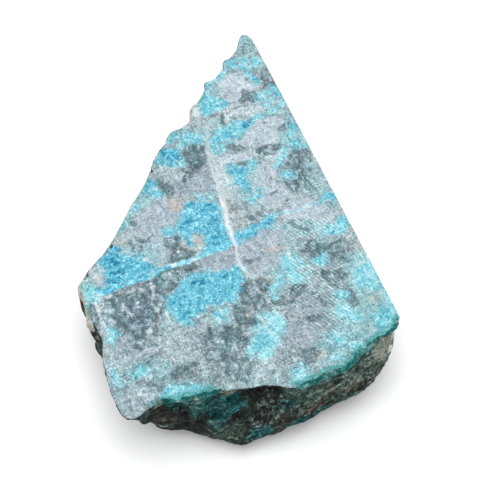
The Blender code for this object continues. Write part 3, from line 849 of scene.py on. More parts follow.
# %% Pale pieces of rock
CLASTS = [
    # the narrow end
    area([(-5.3, 42.0), (-3.3, 44.7), (-0.3, 45.3), (1.3, 43.7), (2.3, 41.3), (4.7, 40.7), (5.0, 39.3),
          (1.3, 38.7), (0.0, 37.3), (-0.7, 35.7), (-3.3, 35.3), (-4.3, 36.7), (-6.0, 39.3)], 0.73),
    area([(-5.4, 39.2), (-0.4, 39.8), (-0.8, 36.6), (-3.2, 36.0)], 0.59),
    area([(7.3, 30.3), (10.0, 30.7), (11.7, 29.0), (9.3, 26.7), (10.0, 24.7), (10.0, 22.3), (8.0, 20.7),
          (5.7, 20.7), (1.3, 21.3), (-0.3, 22.0), (0.7, 24.7), (2.7, 27.0), (3.3, 29.3)], 0.69),
    area([(-7.0, 16.6), (-3.6, 18.6), (0.8, 19.4), (4.3, 19.4), (5.1, 17.9), (0.8, 17.0),
          (-1.8, 15.6)], 0.75),
    # the middle
    area([(-19.0, 11.0), (-14.5, 10.5), (-12.5, 13.0), (-9.5, 15.5), (-6.8, 15.0), (-6.0, 10.0),
          (-5.6, 7.5), (-9.0, 6.8), (-11.5, 7.0), (-14.0, 5.5), (-16.0, 6.5), (-17.0, 8.5)], 0.44),
    area([(3.4, 15.3), (6.4, 16.2), (8.6, 15.3), (9.5, 12.3), (6.9, 11.4), (3.0, 11.4)], 0.62),
    area([(2.4, 11.0), (9.5, 11.0), (12.0, 6.6), (9.5, 3.6), (6.9, 2.3), (4.3, 4.0), (4.8, 7.5)], 0.64),
    area([(13.0, 6.6), (19.5, 4.9), (22.5, 2.3), (23.8, 0.5), (20.0, -0.3), (13.8, -1.2), (9.5, -0.3),
          (9.5, 1.4), (12.0, 3.0)], 0.64),
    area([(-22.7, 4.9), (-16.6, 4.6), (-15.2, 2.0), (-15.6, -1.0), (-17.5, -3.6), (-18.4, -5.6),
          (-17.4, -9.0), (-16.6, -12.6), (-19.6, -13.4), (-22.4, -10.6), (-23.4, -7.0), (-25.4, -4.4),
          (-26.0, -1.4), (-24.8, 2.0)], 0.53),
    area([(-8.9, -11.8), (-5.0, -9.9), (-2.1, -7.8), (-1.0, -10.7), (-0.3, -13.9), (-2.1, -14.2),
          (-5.8, -15.5), (-9.7, -15.0)], 0.47),
    area([(7.4, -1.1), (10.0, -0.3), (10.9, -3.1), (12.0, -5.4), (12.9, -7.4), (12.0, -9.7), (9.7, -11.4),
          (9.4, -14.6), (7.4, -17.1), (4.6, -17.7), (2.6, -16.0), (1.1, -13.1), (-0.3, -10.3),
          (-1.1, -7.4), (1.1, -5.7)], 0.53),
    # the wide end
    area([(-35.6, -14.0), (-33.4, -16.0), (-31.8, -17.0), (-32.0, -18.6), (-34.2, -19.2), (-36.0, -18.4),
          (-36.4, -16.4)], 0.73),
    area([(-31.6, -24.6), (-29.4, -24.4), (-28.8, -28.4), (-30.6, -29.6)], 0.78),
    area([(-29.2, -35.1), (-27.8, -30.5), (-24.2, -35.1), (-21.0, -35.5), (-16.9, -34.6), (-19.6, -36.5),
          (-22.4, -39.2), (-24.6, -40.5), (-27.8, -41.0), (-29.6, -39.6)], 0.48),
    area([(-27.8, -44.2), (-24.6, -44.2), (-20.5, -45.5), (-20.5, -48.7), (-22.4, -50.5), (-24.6, -52.8),
          (-26.9, -51.5), (-28.3, -46.9)], 0.44),
    area([(10.5, -24.0), (12.5, -22.0), (16.0, -21.0), (18.9, -21.7), (21.7, -24.6), (20.5, -27.0),
          (16.0, -26.6), (14.0, -28.0), (11.0, -27.0)], 0.46),
    area([(11.0, -29.0), (15.0, -29.6), (19.7, -29.7), (19.4, -34.0), (17.0, -35.0), (12.5, -35.6),
          (10.4, -32.0)], 0.45),
]
print(len(CLASTS), "pale pieces")

# %% [markdown]
# **White quartz** filled the youngest cracks. They run straight through everything older, so they are
# drawn as lines. The longest one crosses the whole face from the upper left to the middle. It is a
# wide pale band with a narrow bright seam inside, so it is drawn twice.

# %% White veins
WHITE = [
    # the long vein: a pale band, and then the bright seam inside it
    line([(-8.9, 27.4), (-7.9, 21.0), (-7.2, 17.0)], 0.8, 1.0, 0.26),
    line([(-7.0, 17.4), (-6.0, 13.0), (-5.0, 9.0), (-4.2, 5.0)], 1.25, 0.95, 0.34),
    line([(-4.4, 6.0), (-3.6, 1.0), (-3.0, -2.0), (-2.0, -5.0)], 0.9, 0.75, 0.42),
    line([(-2.0, -5.0), (-1.4, -8.0), (0.0, -12.0), (1.5, -15.4), (2.8, -17.0)], 0.65, 0.45, 0.42),
    line([(-6.9, 15.0), (-6.4, 12.0), (-5.9, 9.8), (-5.3, 8.0)], 0.3, 0.28, 0.62),
    line([(-5.0, 6.6), (-4.4, 4.2), (-3.6, 1.0), (-3.0, -2.0), (-2.0, -5.0)], 0.32, 0.4, 0.78),
    line([(-2.0, -5.0), (-1.4, -8.0), (0.0, -12.0), (1.5, -15.4)], 0.34, 0.22, 0.75),
    # short veins and spots
    line([(-21.2, -18.4), (-20.5, -22.0), (-19.8, -25.0), (-19.0, -29.0), (-18.3, -31.6)], 0.26, 0.2, 0.62),
    line([(-17.2, -26.0), (-16.5, -28.6)], 0.3, 0.22, 0.65),
    line([(-34.0, -23.4), (-33.0, -26.0), (-32.3, -28.4), (-31.4, -30.2)], 0.28, 0.22, 0.62),
    line([(3.4, -18.0), (5.0, -20.6), (7.0, -23.6)], 0.28, 0.22, 0.55),
    line([(2.0, -20.2), (3.6, -22.6), (4.8, -25.4)], 0.22, 0.18, 0.45),
    line([(-24.0, -38.2), (-22.0, -36.6), (-20.0, -35.4)], 0.24, 0.2, 0.45),
    line([(-27.2, -48.6), (-24.5, -47.6), (-21.0, -46.6)], 0.22, 0.2, 0.5),
    line([(5.0, -27.8), (6.4, -31.0), (8.0, -34.2)], 0.32, 0.24, 0.55),
    line([(11.0, -10.6), (12.6, -12.4), (13.8, -14.6)], 0.36, 0.28, 0.6),
    oval(-22.6, -12.0, 1.2, 0.6, 20, 0.6),
    line([(-25.6, -5.6), (-24.6, -7.2), (-23.0, -7.4)], 0.32, 0.26, 0.5),
    oval(-21.0, -31.2, 0.9, 0.9, 0, 0.7),
    line([(-26.2, -20.4), (-23.4, -19.6)], 0.45, 0.3, 0.35),
    line([(-26.6, -25.4), (-25.4, -27.0)], 0.28, 0.2, 0.6),
    oval(-24.0, -23.6, 0.4, 0.3, 30, 0.7),
    oval(-21.0, 8.0, 0.8, 0.6, 0, 0.55),
    oval(-19.6, -47.4, 1.6, 1.2, 30, 0.15),
    area([(-12.6, 30.2), (-11.8, 33.6), (-10.4, 33.8), (-10.2, 30.8)], 0.6),
    area([(-37.6, -23.0), (-36.0, -24.4), (-35.0, -27.6), (-34.2, -30.4), (-36.0, -31.0),
          (-38.0, -27.0)], 0.5),
    line([(-13.6, 14.8), (-12.6, 14.4)], 0.2, 0.15, 0.6),
    line([(8.4, 13.2), (9.2, 11.0)], 0.26, 0.2, 0.5),
    line([(9.8, 18.8), (6.6, 17.2)], 0.22, 0.18, 0.5),
    line([(-30.6, -21.6), (-32.6, -20.8), (-35.0, -21.6)], 0.35, 0.25, 0.45),
    oval(9.0, -41.6, 0.7, 0.5, 20, 0.5),
    line([(26.4, -16.6), (23.4, -19.6)], 0.2, 0.15, 0.5),
    line([(30.6, -15.6), (33.2, -22.0), (35.6, -26.6)], 0.55, 0.4, 0.22),
]
print(len(WHITE), "white veins and spots")

# %% [markdown]
# Softer things have no sharp border: a haze of pale teal where a little copper soaked into the grey rock,
# paler and deeper tones of that rock, warm spots of rust and beige, and the areas where the saw left
# marks. They are all ovals, so a row of numbers is enough: x, y, half length, half width, turn, strength.

# %% Haze, tone, warm spots and saw marks
# Where a little copper soaked in.
HAZE = [
    (-7.6, 39.0, 2.4, 2.6, 0, 0.8), (7.5, 36.5, 3.2, 2.6, 0, 0.42), (11.6, 31.0, 1.6, 5.0, 20, 0.5),
    (13.0, 23.5, 3.6, 3.8, 0, 0.75), (8.0, 18.0, 3.0, 3.0, 0, 0.35), (18.0, 11.0, 3.4, 6.4, 20, 0.58),
    (-11.0, 24.0, 6.4, 3.4, 0, 0.65), (-5.0, 27.0, 4.0, 3.4, 0, 0.5), (-24.0, 7.0, 5.0, 3.4, 70, 0.7),
    (-28.2, -1.0, 1.6, 5.4, -20, 0.8), (15.5, -3.0, 6.0, 2.6, 0, 0.65), (19.5, -9.0, 1.6, 4.0, 0, 0.8),
    (13.0, -9.5, 3.0, 3.4, 0, 0.5), (29.0, -16.0, 4.6, 6.4, 0, 0.95), (27.0, -26.0, 6.4, 5.0, 0, 0.8),
    (24.0, -35.0, 7.4, 5.6, 20, 0.75), (33.6, -26.0, 4.4, 8.0, 10, 1.05), (6.5, -31.0, 4.4, 5.4, 0, 0.7),
    (-4.6, -27.0, 3.4, 2.6, 0, 0.6), (-18.5, -17.5, 3.0, 2.5, 0, 0.8), (-35.6, -20.0, 2.6, 4.2, 0, 0.8),
    (-30.2, -26.0, 1.8, 5.6, 0, 0.4), (-12.0, -46.5, 7.4, 3.0, 0, 0.75), (-20.0, -41.0, 6.0, 3.2, 0, 0.6),
    (3.0, -43.0, 8.0, 3.0, 0, 0.35), (14.0, -42.5, 3.4, 3.4, 0, 0.7), (22.0, -27.0, 4.0, 4.0, 0, 0.35),
    (9.0, -17.5, 3.0, 4.0, 0, 0.65), (14.0, -16.0, 3.4, 4.4, 0, 0.5), (0.0, 10.0, 4.6, 7.0, 0, 0.45),
    (3.4, 6.0, 3.0, 3.4, 0, 0.4), (1.5, 54.6, 2.8, 4.4, 0, 0.7), (22.0, 5.0, 3.4, 2.6, 0, 0.6),
    (-8.0, -6.6, 5.6, 3.6, 0, 0.6), (-17.0, -28.0, 2.4, 4.4, 0, 0.5), (-28.2, -44.0, 1.6, 5.6, 20, 0.6),
    (-3.6, -34.6, 2.4, 2.0, 0, 0.55), (22.6, -22.0, 3.6, 3.0, 0, 0.4), (-26.0, -12.0, 8.0, 6.0, 20, 0.6),
    (3.0, 48.0, 5.0, 2.6, 0, 0.6), (-5.6, 43.4, 1.8, 3.6, -40, 0.7), (20.0, -15.0, 8.0, 10.0, 0, 0.25),
]
# Where the grey rock is paler, and where it is deeper in tone.
PALE = [
    (0.0, 32.0, 6.0, 1.6, 8, 0.8), (7.0, 34.6, 3.6, 1.0, 22, 0.5), (-8.0, 28.6, 3.0, 2.0, 0, 0.25),
    (-2.6, 12.0, 2.6, 6.0, 10, 0.6), (-16.6, 14.0, 3.0, 1.6, -10, 0.4), (8.6, 17.4, 2.0, 1.6, 0, 0.6),
    (18.0, -1.0, 7.0, 3.4, -10, 0.35), (28.6, -12.0, 2.0, 4.0, 0, 0.3), (-18.6, -41.0, 2.6, 1.6, 0, 0.45),
    (1.6, 56.4, 2.0, 1.6, 0, 0.4), (-12.0, -35.0, 5.0, 3.0, 20, 0.05), (-33.0, -26.0, 2.0, 4.0, 10, 0.35),
    (22.0, -24.6, 3.0, 3.0, 0, 0.2),
]
DEEP = [
    (15.0, -30.0, 6.4, 8.0, 0, 0.25), (-24.0, -38.0, 5.6, 6.4, 0, 0.6), (17.0, -22.0, 6.4, 4.0, 0, 0.25),
    (-9.0, -42.0, 8.0, 3.6, 0, 0.5), (-3.0, -36.0, 7.0, 7.0, 0, 0.5), (-22.0, -46.0, 5.0, 5.0, 0, 0.7),
    (4.6, -25.0, 5.6, 6.0, 0, 0.4), (22.0, -10.6, 5.0, 4.0, 0, 0.45), (13.6, 14.0, 3.6, 6.4, 0, 0.35),
    (-25.0, -25.0, 7.0, 7.6, 0, 0.55), (-34.6, -28.0, 1.4, 3.6, 0, 0.1), (1.8, 52.0, 2.4, 2.4, 0, 0.05),
    (8.0, 42.0, 1.8, 4.0, 25, 0.5), (-17.0, -18.0, 3.6, 3.6, 0, 0.6), (12.0, -39.0, 4.0, 5.0, 0, 0.4),
    (29.6, -23.0, 3.4, 3.0, 0, 0.1), (0.0, 3.0, 3.0, 3.4, 0, 0.1), (-14.0, 23.6, 3.0, 2.0, 0, 0.4),
    (24.0, -36.0, 5.0, 3.6, 20, 0.4), (-12.0, -13.6, 3.4, 1.6, 15, 0.4),
]
# Rust and beige.
WARM = [
    (-15.6, 4.0, 1.6, 1.6, 0, 0.6), (-2.0, 4.0, 1.8, 3.6, 10, 0.35), (8.0, -9.0, 0.9, 0.4, 0, 0.8),
    (17.9, -37.6, 0.9, 0.4, 20, 1.0), (-21.0, -30.6, 0.9, 0.5, 0, 0.7), (31.0, -22.6, 1.1, 0.8, 0, 0.6),
    (-10.2, -6.6, 1.2, 2.2, 0, 0.5), (-14.0, -7.8, 1.1, 0.9, 0, 0.5), (-28.4, -7.2, 1.6, 2.0, 20, 0.4),
    (-12.8, -8.6, 0.5, 0.4, 0, 0.9), (6.4, -18.6, 0.4, 0.8, 0, 0.9), (28.4, -8.8, 0.8, 0.8, 0, 0.4),
    (2.0, -27.0, 0.8, 1.4, 20, 0.35), (-34.4, -16.8, 2.0, 1.6, 0, 0.3), (-6.0, 2.0, 0.6, 2.6, 15, 0.4),
]
# Where the saw left marks. The widest oval covers the whole face, weakly.
SAW_MARKS = [
    (18.5, -19.5, 7.0, 12.0, 10, 1.0), (13.0, -2.5, 8.0, 4.0, 0, 0.7), (7.0, 19.0, 4.0, 3.0, 0, 0.5),
    (-22.0, 0.0, 6.0, 8.0, 0, 0.3), (10.0, -38.0, 8.0, 6.0, 0, 0.4), (0.0, -10.0, 40.0, 60.0, 0, 0.15),
]
print(len(HAZE) + len(PALE) + len(DEEP), "soft areas,", len(WARM), "warm spots")

# %% [markdown]
# The patches do not stop at the surface. They go on into the stone, which matters at the rim: the same
# blue that ends at the edge of the top must start at the top of the side. So a place deeper down looks
# itself up on the drawing a little further in, and bends away more the deeper it lies.
#
# Straight-sided shapes would look cut out with scissors. Before the lookup each place is shifted by soft
# noise of two sizes, which makes every border wander the way mineral borders do.

# %% Look every point up on the drawing
# The middle of the drawing's patches, and how far the lookup moves per mm of depth.
HEART = np.array([0.0, -10.0])
DRIFT_IN = 0.45
DRIFT_ALONG = 0.55
# Waves of the borders: size and shift in mm. Under the face one more grows with the depth.
WANDER = [(4.0, 0.75), (1.4, 0.40)]
WANDER_BELOW = (6.0, 0.96)


def drawing_spots(places):
    """Where each place of the stone, in mm, is looked up on the drawing."""
    flat = places[:, :2] - np.array(DRAWING_ZERO[:2])
    depth = np.clip(below_face(places), 0.0, None)
    inward = HEART - flat
    inward /= np.linalg.norm(inward, axis=1)[:, None] + 1.0
    sideways = np.stack([-inward[:, 1], inward[:, 0]], axis=1)
    spots = flat + (DRIFT_IN * depth)[:, None] * inward + (DRIFT_ALONG * depth)[:, None] * sideways
    for number, (size, far) in enumerate(WANDER):
        shift = [soft_noise(places, size, seed=20 + 2 * number + axis) for axis in (0, 1)]
        spots += far * np.stack(shift, axis=1)
    size, far_per_mm = WANDER_BELOW
    shift = [soft_noise(places, size, seed=30 + axis) for axis in (0, 1)]
    spots += (far_per_mm * depth)[:, None] * np.stack(shift, axis=1)
    return spots


spots = drawing_spots(places)
print("looked up from", spots.min(axis=0).round(1), "to", spots.max(axis=0).round(1), "mm on the drawing")

# %% [markdown]
# Each result is stored as one number for each point of the mesh, an attribute with a name. A material
# can read it by that name. Painting an image would need an unwrapped surface, and the squares of a
# picture would show at the walls, where the surface turns away.

# %% Store the fields in the skin
# How far a soft area fades on each side of its border, in mm.
HAZE_EDGE = 1.3
# Some haze lies under and round every blue patch, up to this strength.
HAZE_UNDER_BLUE = 0.65
HAZE_UNDER = (-HAZE_EDGE, 0.4)
STORED = []


def keep(mesh, name, values):
    """Stores one number for each point of the mesh, under a name that the material can read."""
    mesh.attributes.new(name, "FLOAT", "POINT").data.foreach_set("value", values.astype(np.float32))
    STORED.append(name)


PATCHES = {"clast": CLASTS, "dark": DARK, "blue": BLUE, "thread": BLUE_THREAD, "white": WHITE}
for name, shapes in PATCHES.items():
    field, strength = drawn(shapes, spots)
    keep(skin, name, field)
    keep(skin, name + "_strength", strength)
    if name == "blue":
        under_blue = HAZE_UNDER_BLUE * eased(field, *HAZE_UNDER)
    print(name, "covers", round(100 * float((field > 0).mean())), "% of the points")
SOFT_AREAS = {"haze": HAZE, "pale": PALE, "deep": DEEP, "warm": WARM, "saw_marks": SAW_MARKS}
for name, rows in SOFT_AREAS.items():
    soft = under_blue if name == "haze" else np.zeros(len(spots))
    for row in rows:
        field, strength = oval(*row)
        soft = np.maximum(soft, strength * eased(field(spots), -HAZE_EDGE, HAZE_EDGE))
    keep(skin, name, soft)

# %% [markdown]
# The broken walls have their own minerals: dark brown-black rock, a teal crust under the rim, green-grey
# and brown streaks, grey lumps and a few cream patches. A wall is no flat drawing, so these are round
# regions in space: x, y, z and reach in mm, and the strength. Away from them, slow noise spreads the same
# minerals over the sides, so that the stone looks whole from behind too.

# %% Minerals of the broken walls
# How much of each mineral there is everywhere, and where it gathers.
WALL_MINERALS = {
    "teal": (0.55, [
        (-14.0, -50.0, 21.0, 4.0, 0.8), (-8.3, -49.6, 19.8, 5.0, 0.9), (-1.1, -48.6, 18.6, 4.4, 0.9),
        (-4.0, -50.0, 14.0, 4.4, 0.6), (5.4, -51.6, 8.7, 4.0, 1.0), (12.0, -47.9, 17.5, 2.0, 0.5),
        (14.8, -48.6, 7.4, 3.4, 1.0), (20.0, -46.0, 6.0, 3.4, 1.0), (26.0, -43.0, 6.0, 4.0, 1.0),
        (31.0, -38.0, 9.0, 3.4, 0.5), (36.4, -31.0, 16.0, 3.0, 0.5), (22.0, -45.4, 22.0, 3.0, 0.5),
        (26.0, -42.8, 23.4, 2.6, 0.5),
    ]),
    "green": (0.5, [
        (-4.3, -51.8, 8.9, 5.0, 0.7), (0.8, -52.5, 9.4, 4.0, 0.6), (28.7, -40.7, 16.4, 3.4, 0.6),
        (-20.7, -52.3, 19.2, 2.0, 0.5), (12.2, -47.0, 20.4, 3.4, 1.0), (20.0, -45.6, 20.0, 4.0, 0.7),
        (35.0, -33.0, 14.0, 4.0, 0.6), (26.0, -42.6, 18.6, 4.0, 0.9), (24.0, -44.4, 12.0, 4.0, 0.9),
        (31.0, -38.6, 17.0, 4.0, 0.9), (35.6, -34.0, 18.0, 3.4, 0.8), (18.0, -46.6, 16.0, 3.4, 0.8),
        (-33.4, -31.6, 15.0, 4.6, 1.0), (25.4, -43.2, 22.6, 3.6, 0.7), (33.4, -36.4, 17.6, 3.0, 0.7),
        (29.4, -40.4, 21.0, 3.6, 0.8), (22.6, -44.6, 20.6, 3.0, 0.5),
    ]),
    "brown": (0.45, [
        (12.3, -49.2, 13.0, 3.4, 0.6), (18.4, -46.4, 13.0, 5.0, 0.8), (23.4, -44.0, 13.6, 4.0, 0.6),
        (-18.1, -50.5, 14.3, 3.0, 0.9), (-13.6, -50.0, 11.6, 3.0, 0.7), (30.0, -39.4, 14.6, 3.4, 0.6),
        (26.0, -43.0, 15.0, 4.0, 0.9), (32.0, -38.0, 20.6, 3.0, 0.9), (34.4, -35.6, 21.4, 2.4, 1.1),
    ]),
    "grey": (0.35, [
        (34.0, -36.0, 20.6, 3.6, 1.1), (36.0, -32.6, 20.0, 3.4, 1.3), (30.6, -39.4, 19.4, 3.0, 0.4),
        (-24.6, -49.0, 24.0, 2.2, 0.9), (-20.6, -50.4, 23.8, 2.2, 0.9), (-18.0, -50.0, 23.4, 1.6, 0.7),
        (2.6, -47.4, 24.4, 1.8, 0.7), (7.4, -46.2, 24.4, 1.8, 0.7), (11.6, -46.4, 24.4, 1.6, 0.7),
        (-1.6, -48.6, 24.6, 3.0, 0.8), (-6.0, -49.6, 24.8, 1.4, 0.7), (22.0, -45.0, 17.0, 3.0, 0.35),
        (14.0, -48.4, 14.6, 2.4, 0.35), (28.0, -41.4, 16.0, 3.0, 0.3),
    ]),
    "cream": (0.25, [
        (-35.4, -26.0, 22.4, 3.0, 1.2), (-34.6, -29.4, 21.2, 2.6, 1.2), (-36.6, -23.4, 21.6, 1.8, 0.9),
        (-36.0, -27.4, 19.0, 3.0, 1.0), (-37.4, -20.0, 21.6, 3.4, 1.0), (-11.8, 30.4, 20.0, 4.0, 1.0),
        (37.0, -32.0, 20.6, 1.4, 0.9), (35.6, -34.8, 18.6, 1.4, 0.8), (-30.4, -38.6, 23.4, 1.6, 0.8),
    ]),
}
for name, (even, rounds) in WALL_MINERALS.items():
    print(name, "gathers in", len(rounds), "places")

# %% [markdown]
# Two more lists darken or lighten the walls. The first is painted shade: it makes the hollows under the near
# rim nearly black, where the rim overhangs, and keeps the other minerals out of them. The second marks
# stretches of the wall that are paler than the rest. Under the lip on the near right it is painted light,
# which lifts the shade there.

# %% Painted shade in the hollows, paler rock with painted light, and where the saw went
# Painted shade in the hollows under the near rim: x, y, z and reach in mm, and the strength.
HOLLOW_SHADE = [
    (3.1, -47.1, 21.0, 3.4, 0.9), (8.0, -46.0, 21.0, 3.2, 0.9), (-18.7, -50.6, 16.3, 4.4, 0.7),
    (-10.9, -49.7, 8.2, 5.4, 0.8), (-13.4, -50.0, 13.0, 3.6, 0.6),
]
# Paler stretches of the wall: x, y, z and reach in mm, and the strength. The round at x 29.4, y -40.4 is
# painted light under the lip, which lifts the shade there.
WALL_PALE_AND_PAINTED_LIGHT = [
    (19.0, -46.6, 19.0, 6.0, 0.9), (26.0, -42.6, 17.0, 6.0, 0.9), (34.0, -36.0, 19.6, 4.4, 1.5),
    (36.4, -32.4, 20.4, 3.6, 1.7), (31.0, -38.6, 13.0, 5.0, 0.8), (12.0, -47.2, 20.4, 3.4, 1.0),
    (8.0, -48.6, 15.0, 5.0, 0.6), (29.4, -40.4, 21.4, 4.4, 1.2), (24.0, -43.8, 21.4, 3.6, 0.7),
]
# The stone counts as sawn this near to a cut, and as broken from here on, in mm.
CUT_SKIN = (0.12, 0.70)
WALL_SPREAD_MM = 6.0
# How much of every other mineral the painted shade in the hollows takes away.
SHADE_HIDES = 0.5

under_top = below_face(places)
from_cut = np.minimum(under_top, inside_side_cut(places))
keep(skin, "sawn", 1.0 - eased(from_cut, *CUT_SKIN))
# Painted shade in the hollows, less the paler stretches and the painted light under the lip.
hollow_shade = regions(places, HOLLOW_SHADE)
keep(skin, "wall_shade_and_pale", hollow_shade - regions(places, WALL_PALE_AND_PAINTED_LIGHT))
for number, (name, (even, rounds)) in enumerate(WALL_MINERALS.items()):
    spread = even * soft_noise(places, WALL_SPREAD_MM, seed=40 + number) * (1.0 - hollow_shade)
    keep(skin, "wall_" + name, spread + regions(places, rounds) - SHADE_HIDES * hollow_shade)
print("sawn share of the points:", round(float((from_cut < CUT_SKIN[0]).mean()), 2))

# %% [markdown]
# Along the rim sits the teal crust. It shows twice: as a lip on the top of the wall, and as a stain that
# soaked a few mm into the sawn face. The stain follows the same places as the rounded lip, and runs on
# weakly along the left rim, where the crust is thin.

# %% The teal crust along the rim
# How far down the lip fades, how much of it there is everywhere, and how well the painted shade in the
# hollows hides it.
LIP_FADE = (0.88, 3.52)
LIP_EVEN = 0.20
LIP_HIDDEN = 0.8
# The stain reaches further along the rim than the lip does, and this far into the face, in mm.
STAIN_SPREAD = 1.5
STAIN_FADE = (0.3, 2.6)
LEFT_RIM = [
    (-36.0, -20.0, 22.6, 4.0, 0.5), (-32.0, -11.0, 22.6, 4.0, 0.3), (-28.6, -3.0, 22.4, 5.0, 0.5),
    (-24.4, 6.6, 22.2, 5.0, 0.5), (-20.6, 15.0, 22.0, 3.0, 0.4), (-15.6, 24.0, 22.0, 4.0, 0.5),
    (-10.4, 35.0, 21.8, 3.0, 0.6), (-37.0, -26.0, 22.6, 4.0, 0.6),
]
crusted = [(x, y, z, STAIN_SPREAD * reach, strength) for x, y, z, reach, strength in LIP] + LEFT_RIM

thick = np.maximum(regions(places, LIP), LIP_EVEN)
keep(skin, "lip", thick * (1.0 - eased(under_top, *LIP_FADE)) * (1.0 - LIP_HIDDEN * hollow_shade))
rim_fade = 1.0 - eased(distance_to_rim(places), *STAIN_FADE)
keep(skin, "near_crust", regions(places, crusted) * rim_fade)
print(len(STORED), "values stored for each of", len(places), "points")

# %% [markdown]
# # The finish
#
# All colours are written as hex values, the way a paint program shows them. Blender calculates with
# light, and needs linear values, so one function turns the one into the other.
# A second small function adds a node with its settings and its inputs. An input is either a number, a
# colour, or the output of another node, which is then linked.

# %% Colours and nodes
def linear(hex_colour):
    """A hex colour as linear light, with full opacity."""
    parts = [int(hex_colour[place:place + 2], 16) / 255 for place in (1, 3, 5)]
    return [part / 12.92 if part <= 0.04045 else ((part + 0.055) / 1.055) ** 2.4 for part in parts] + [1.0]


def add_node(tree, kind, inputs, stops=(), **settings):
    """Adds a node. Inputs are given by name or number, and stops are a colour ramp's places and colours."""
    node = tree.nodes.new(kind)
    for name, value in settings.items():
        setattr(node, name, value)
    for name, value in inputs.items():
        if isinstance(value, bpy.types.NodeSocket):
            tree.links.new(value, node.inputs[name])
        else:
            node.inputs[name].default_value = value
    while stops and len(node.color_ramp.elements) < len(stops):
        node.color_ramp.elements.new(0.5)
    for element, (place, colour) in zip(node.color_ramp.elements if stops else (), stops):
        element.position = place
        element.color = linear(colour)
    return node


def per_metre(size):
    """The noise scale that gives features of this size in mm."""
    return 1.0 / (size * MM)


print("mid grey #808080 is", round(linear("#808080")[0], 3), "of full light")

# %% [markdown]
# Both finishes are painted with the same few noises. The grain of 0.4 mm gives the eye the
# salt-and-pepper look of a fine-grained rock. Fine fibres cross it in two directions, and slow clouds of
# a few mm keep it from looking printed. Real grain is finer still, near 0.1 mm, but at arm's length that
# is too fine to see and would only flicker, so it is drawn coarser.
#
# A pattern looks natural where its parts share their twists, so most noises read the same slightly
# curled coordinates. Fibres, streaks and ropes read coordinates that are drawn out along one direction.

# %% The noises that the finishes share
# How large the curls are, and how far they carry a place.
CURL_MM = 1.6
CURL_FAR_MM = 1.3
CURL_DETAIL = 2.0
# Coordinates: what they start from, their turn about x, y and z, and how much longer lumps get.
DRAWN_OUT = {
    "steep": ("plain", (0.0, 0.0, -66.0), (5.0, 1.0, 1.0)),
    "slanted": ("plain", (0.0, 0.0, 22.0), (4.0, 1.0, 1.0)),
    "bedded": ("curled", (0.0, 0.0, 0.0), (4.0, 4.0, 1.0)),
    "roped": ("curled", (0.0, -ROPE_RISE, ROPE_TURN), (6.0, 1.0, 1.0)),
}
# Noises: their coordinates, size in mm, detail, roughness and twist.
NOISES = {
    "grain": ("plain", 0.42, 2.0, 0.60, 0.0),
    "steep_fibres": ("steep", 0.42, 2.0, 0.60, 0.8),
    "slanted_fibres": ("slanted", 0.42, 2.0, 0.60, 0.8),
    "mottle": ("curled", 1.5, 4.0, 0.66, 0.5),
    "cloud": ("plain", 6.0, 3.0, 0.50, 0.0),
    "patches": ("curled", 2.8, 2.0, 0.60, 0.4),
    "ragged": ("curled", 1.6, 4.0, 0.65, 0.4),
    "tint": ("curled", 0.9, 2.0, 0.60, 0.0),
    "lace_noise": ("curled", 1.9, 1.5, 0.50, 0.9),
    "strand_noise": ("curled", 1.1, 1.5, 0.55, 1.2),
    "streaks": ("bedded", 1.0, 4.0, 0.62, 0.4),
    "ropes": ("roped", 0.8, 3.0, 0.62, 0.4),
}
# Seams are thin lines where a noise passes its middle value: the noise and how far the line reaches.
SEAMS = {"lace": ("lace_noise", 0.13), "strands": ("strand_noise", 0.10)}
# Cells are the tiny rounded skins in which chrysocolla grows: their size, and where they fade and are full.
CELL_MM = 1.3
CELL_EDGE = (0.42, 0.12)
print(len(NOISES), "noises,", len(SEAMS), "kinds of seam, cells of", CELL_MM, "mm")

# %% [markdown]
# All these values are made once and kept by name, next to the values stored in the skin. Every recipe
# below picks from them. If each coat made its own noises, they would not share their twists, and the
# material would need several times as many nodes.

# %% Every value to paint with
def shared_values(tree):
    """Every noise, seam and stored value, by its name."""
    plain = add_node(tree, "ShaderNodeTexCoord", {}).outputs["Object"]
    curl = add_node(tree, "ShaderNodeTexNoise", {
        "Vector": plain, "Scale": per_metre(CURL_MM), "Detail": CURL_DETAIL})
    curled = add_node(tree, "ShaderNodeVectorMath", {
        0: curl.outputs["Color"], 1: [CURL_FAR_MM * MM] * 3, 2: plain}, operation="MULTIPLY_ADD")
    values = {"plain": plain, "curled": curled.outputs[0]}
    for name, (coords, turns, longer) in DRAWN_OUT.items():
        values[name] = add_node(tree, "ShaderNodeMapping", {
            "Vector": values[coords], "Rotation": [math.radians(angle) for angle in turns], "Scale": longer,
        }, vector_type="TEXTURE").outputs[0]
    for name, (coords, size, detail, roughness, twist) in NOISES.items():
        values[name] = add_node(tree, "ShaderNodeTexNoise", {
            "Vector": values[coords], "Scale": per_metre(size), "Detail": detail, "Roughness": roughness,
            "Distortion": twist,
        }).outputs["Fac"]
    for name, (source, reach) in SEAMS.items():
        swing = add_node(tree, "ShaderNodeMath", {0: values[source], 1: 2.0, 2: -1.0},
                         operation="MULTIPLY_ADD")
        away = add_node(tree, "ShaderNodeMath", {0: swing.outputs[0]}, operation="ABSOLUTE")
        values[name] = add_node(tree, "ShaderNodeMapRange", {
            "Value": away.outputs[0], "From Min": reach, "From Max": 0.0,
        }, interpolation_type="SMOOTHSTEP").outputs["Result"]
    cells = add_node(tree, "ShaderNodeTexVoronoi", {"Vector": values["curled"], "Scale": per_metre(CELL_MM)})
    values["cells"] = add_node(tree, "ShaderNodeMapRange", {
        "Value": cells.outputs["Distance"], "From Min": CELL_EDGE[0], "From Max": CELL_EDGE[1],
    }, interpolation_type="SMOOTHSTEP").outputs["Result"]
    for name in STORED:
        values[name] = add_node(tree, "ShaderNodeAttribute", {}, attribute_name=name).outputs["Fac"]
    return values


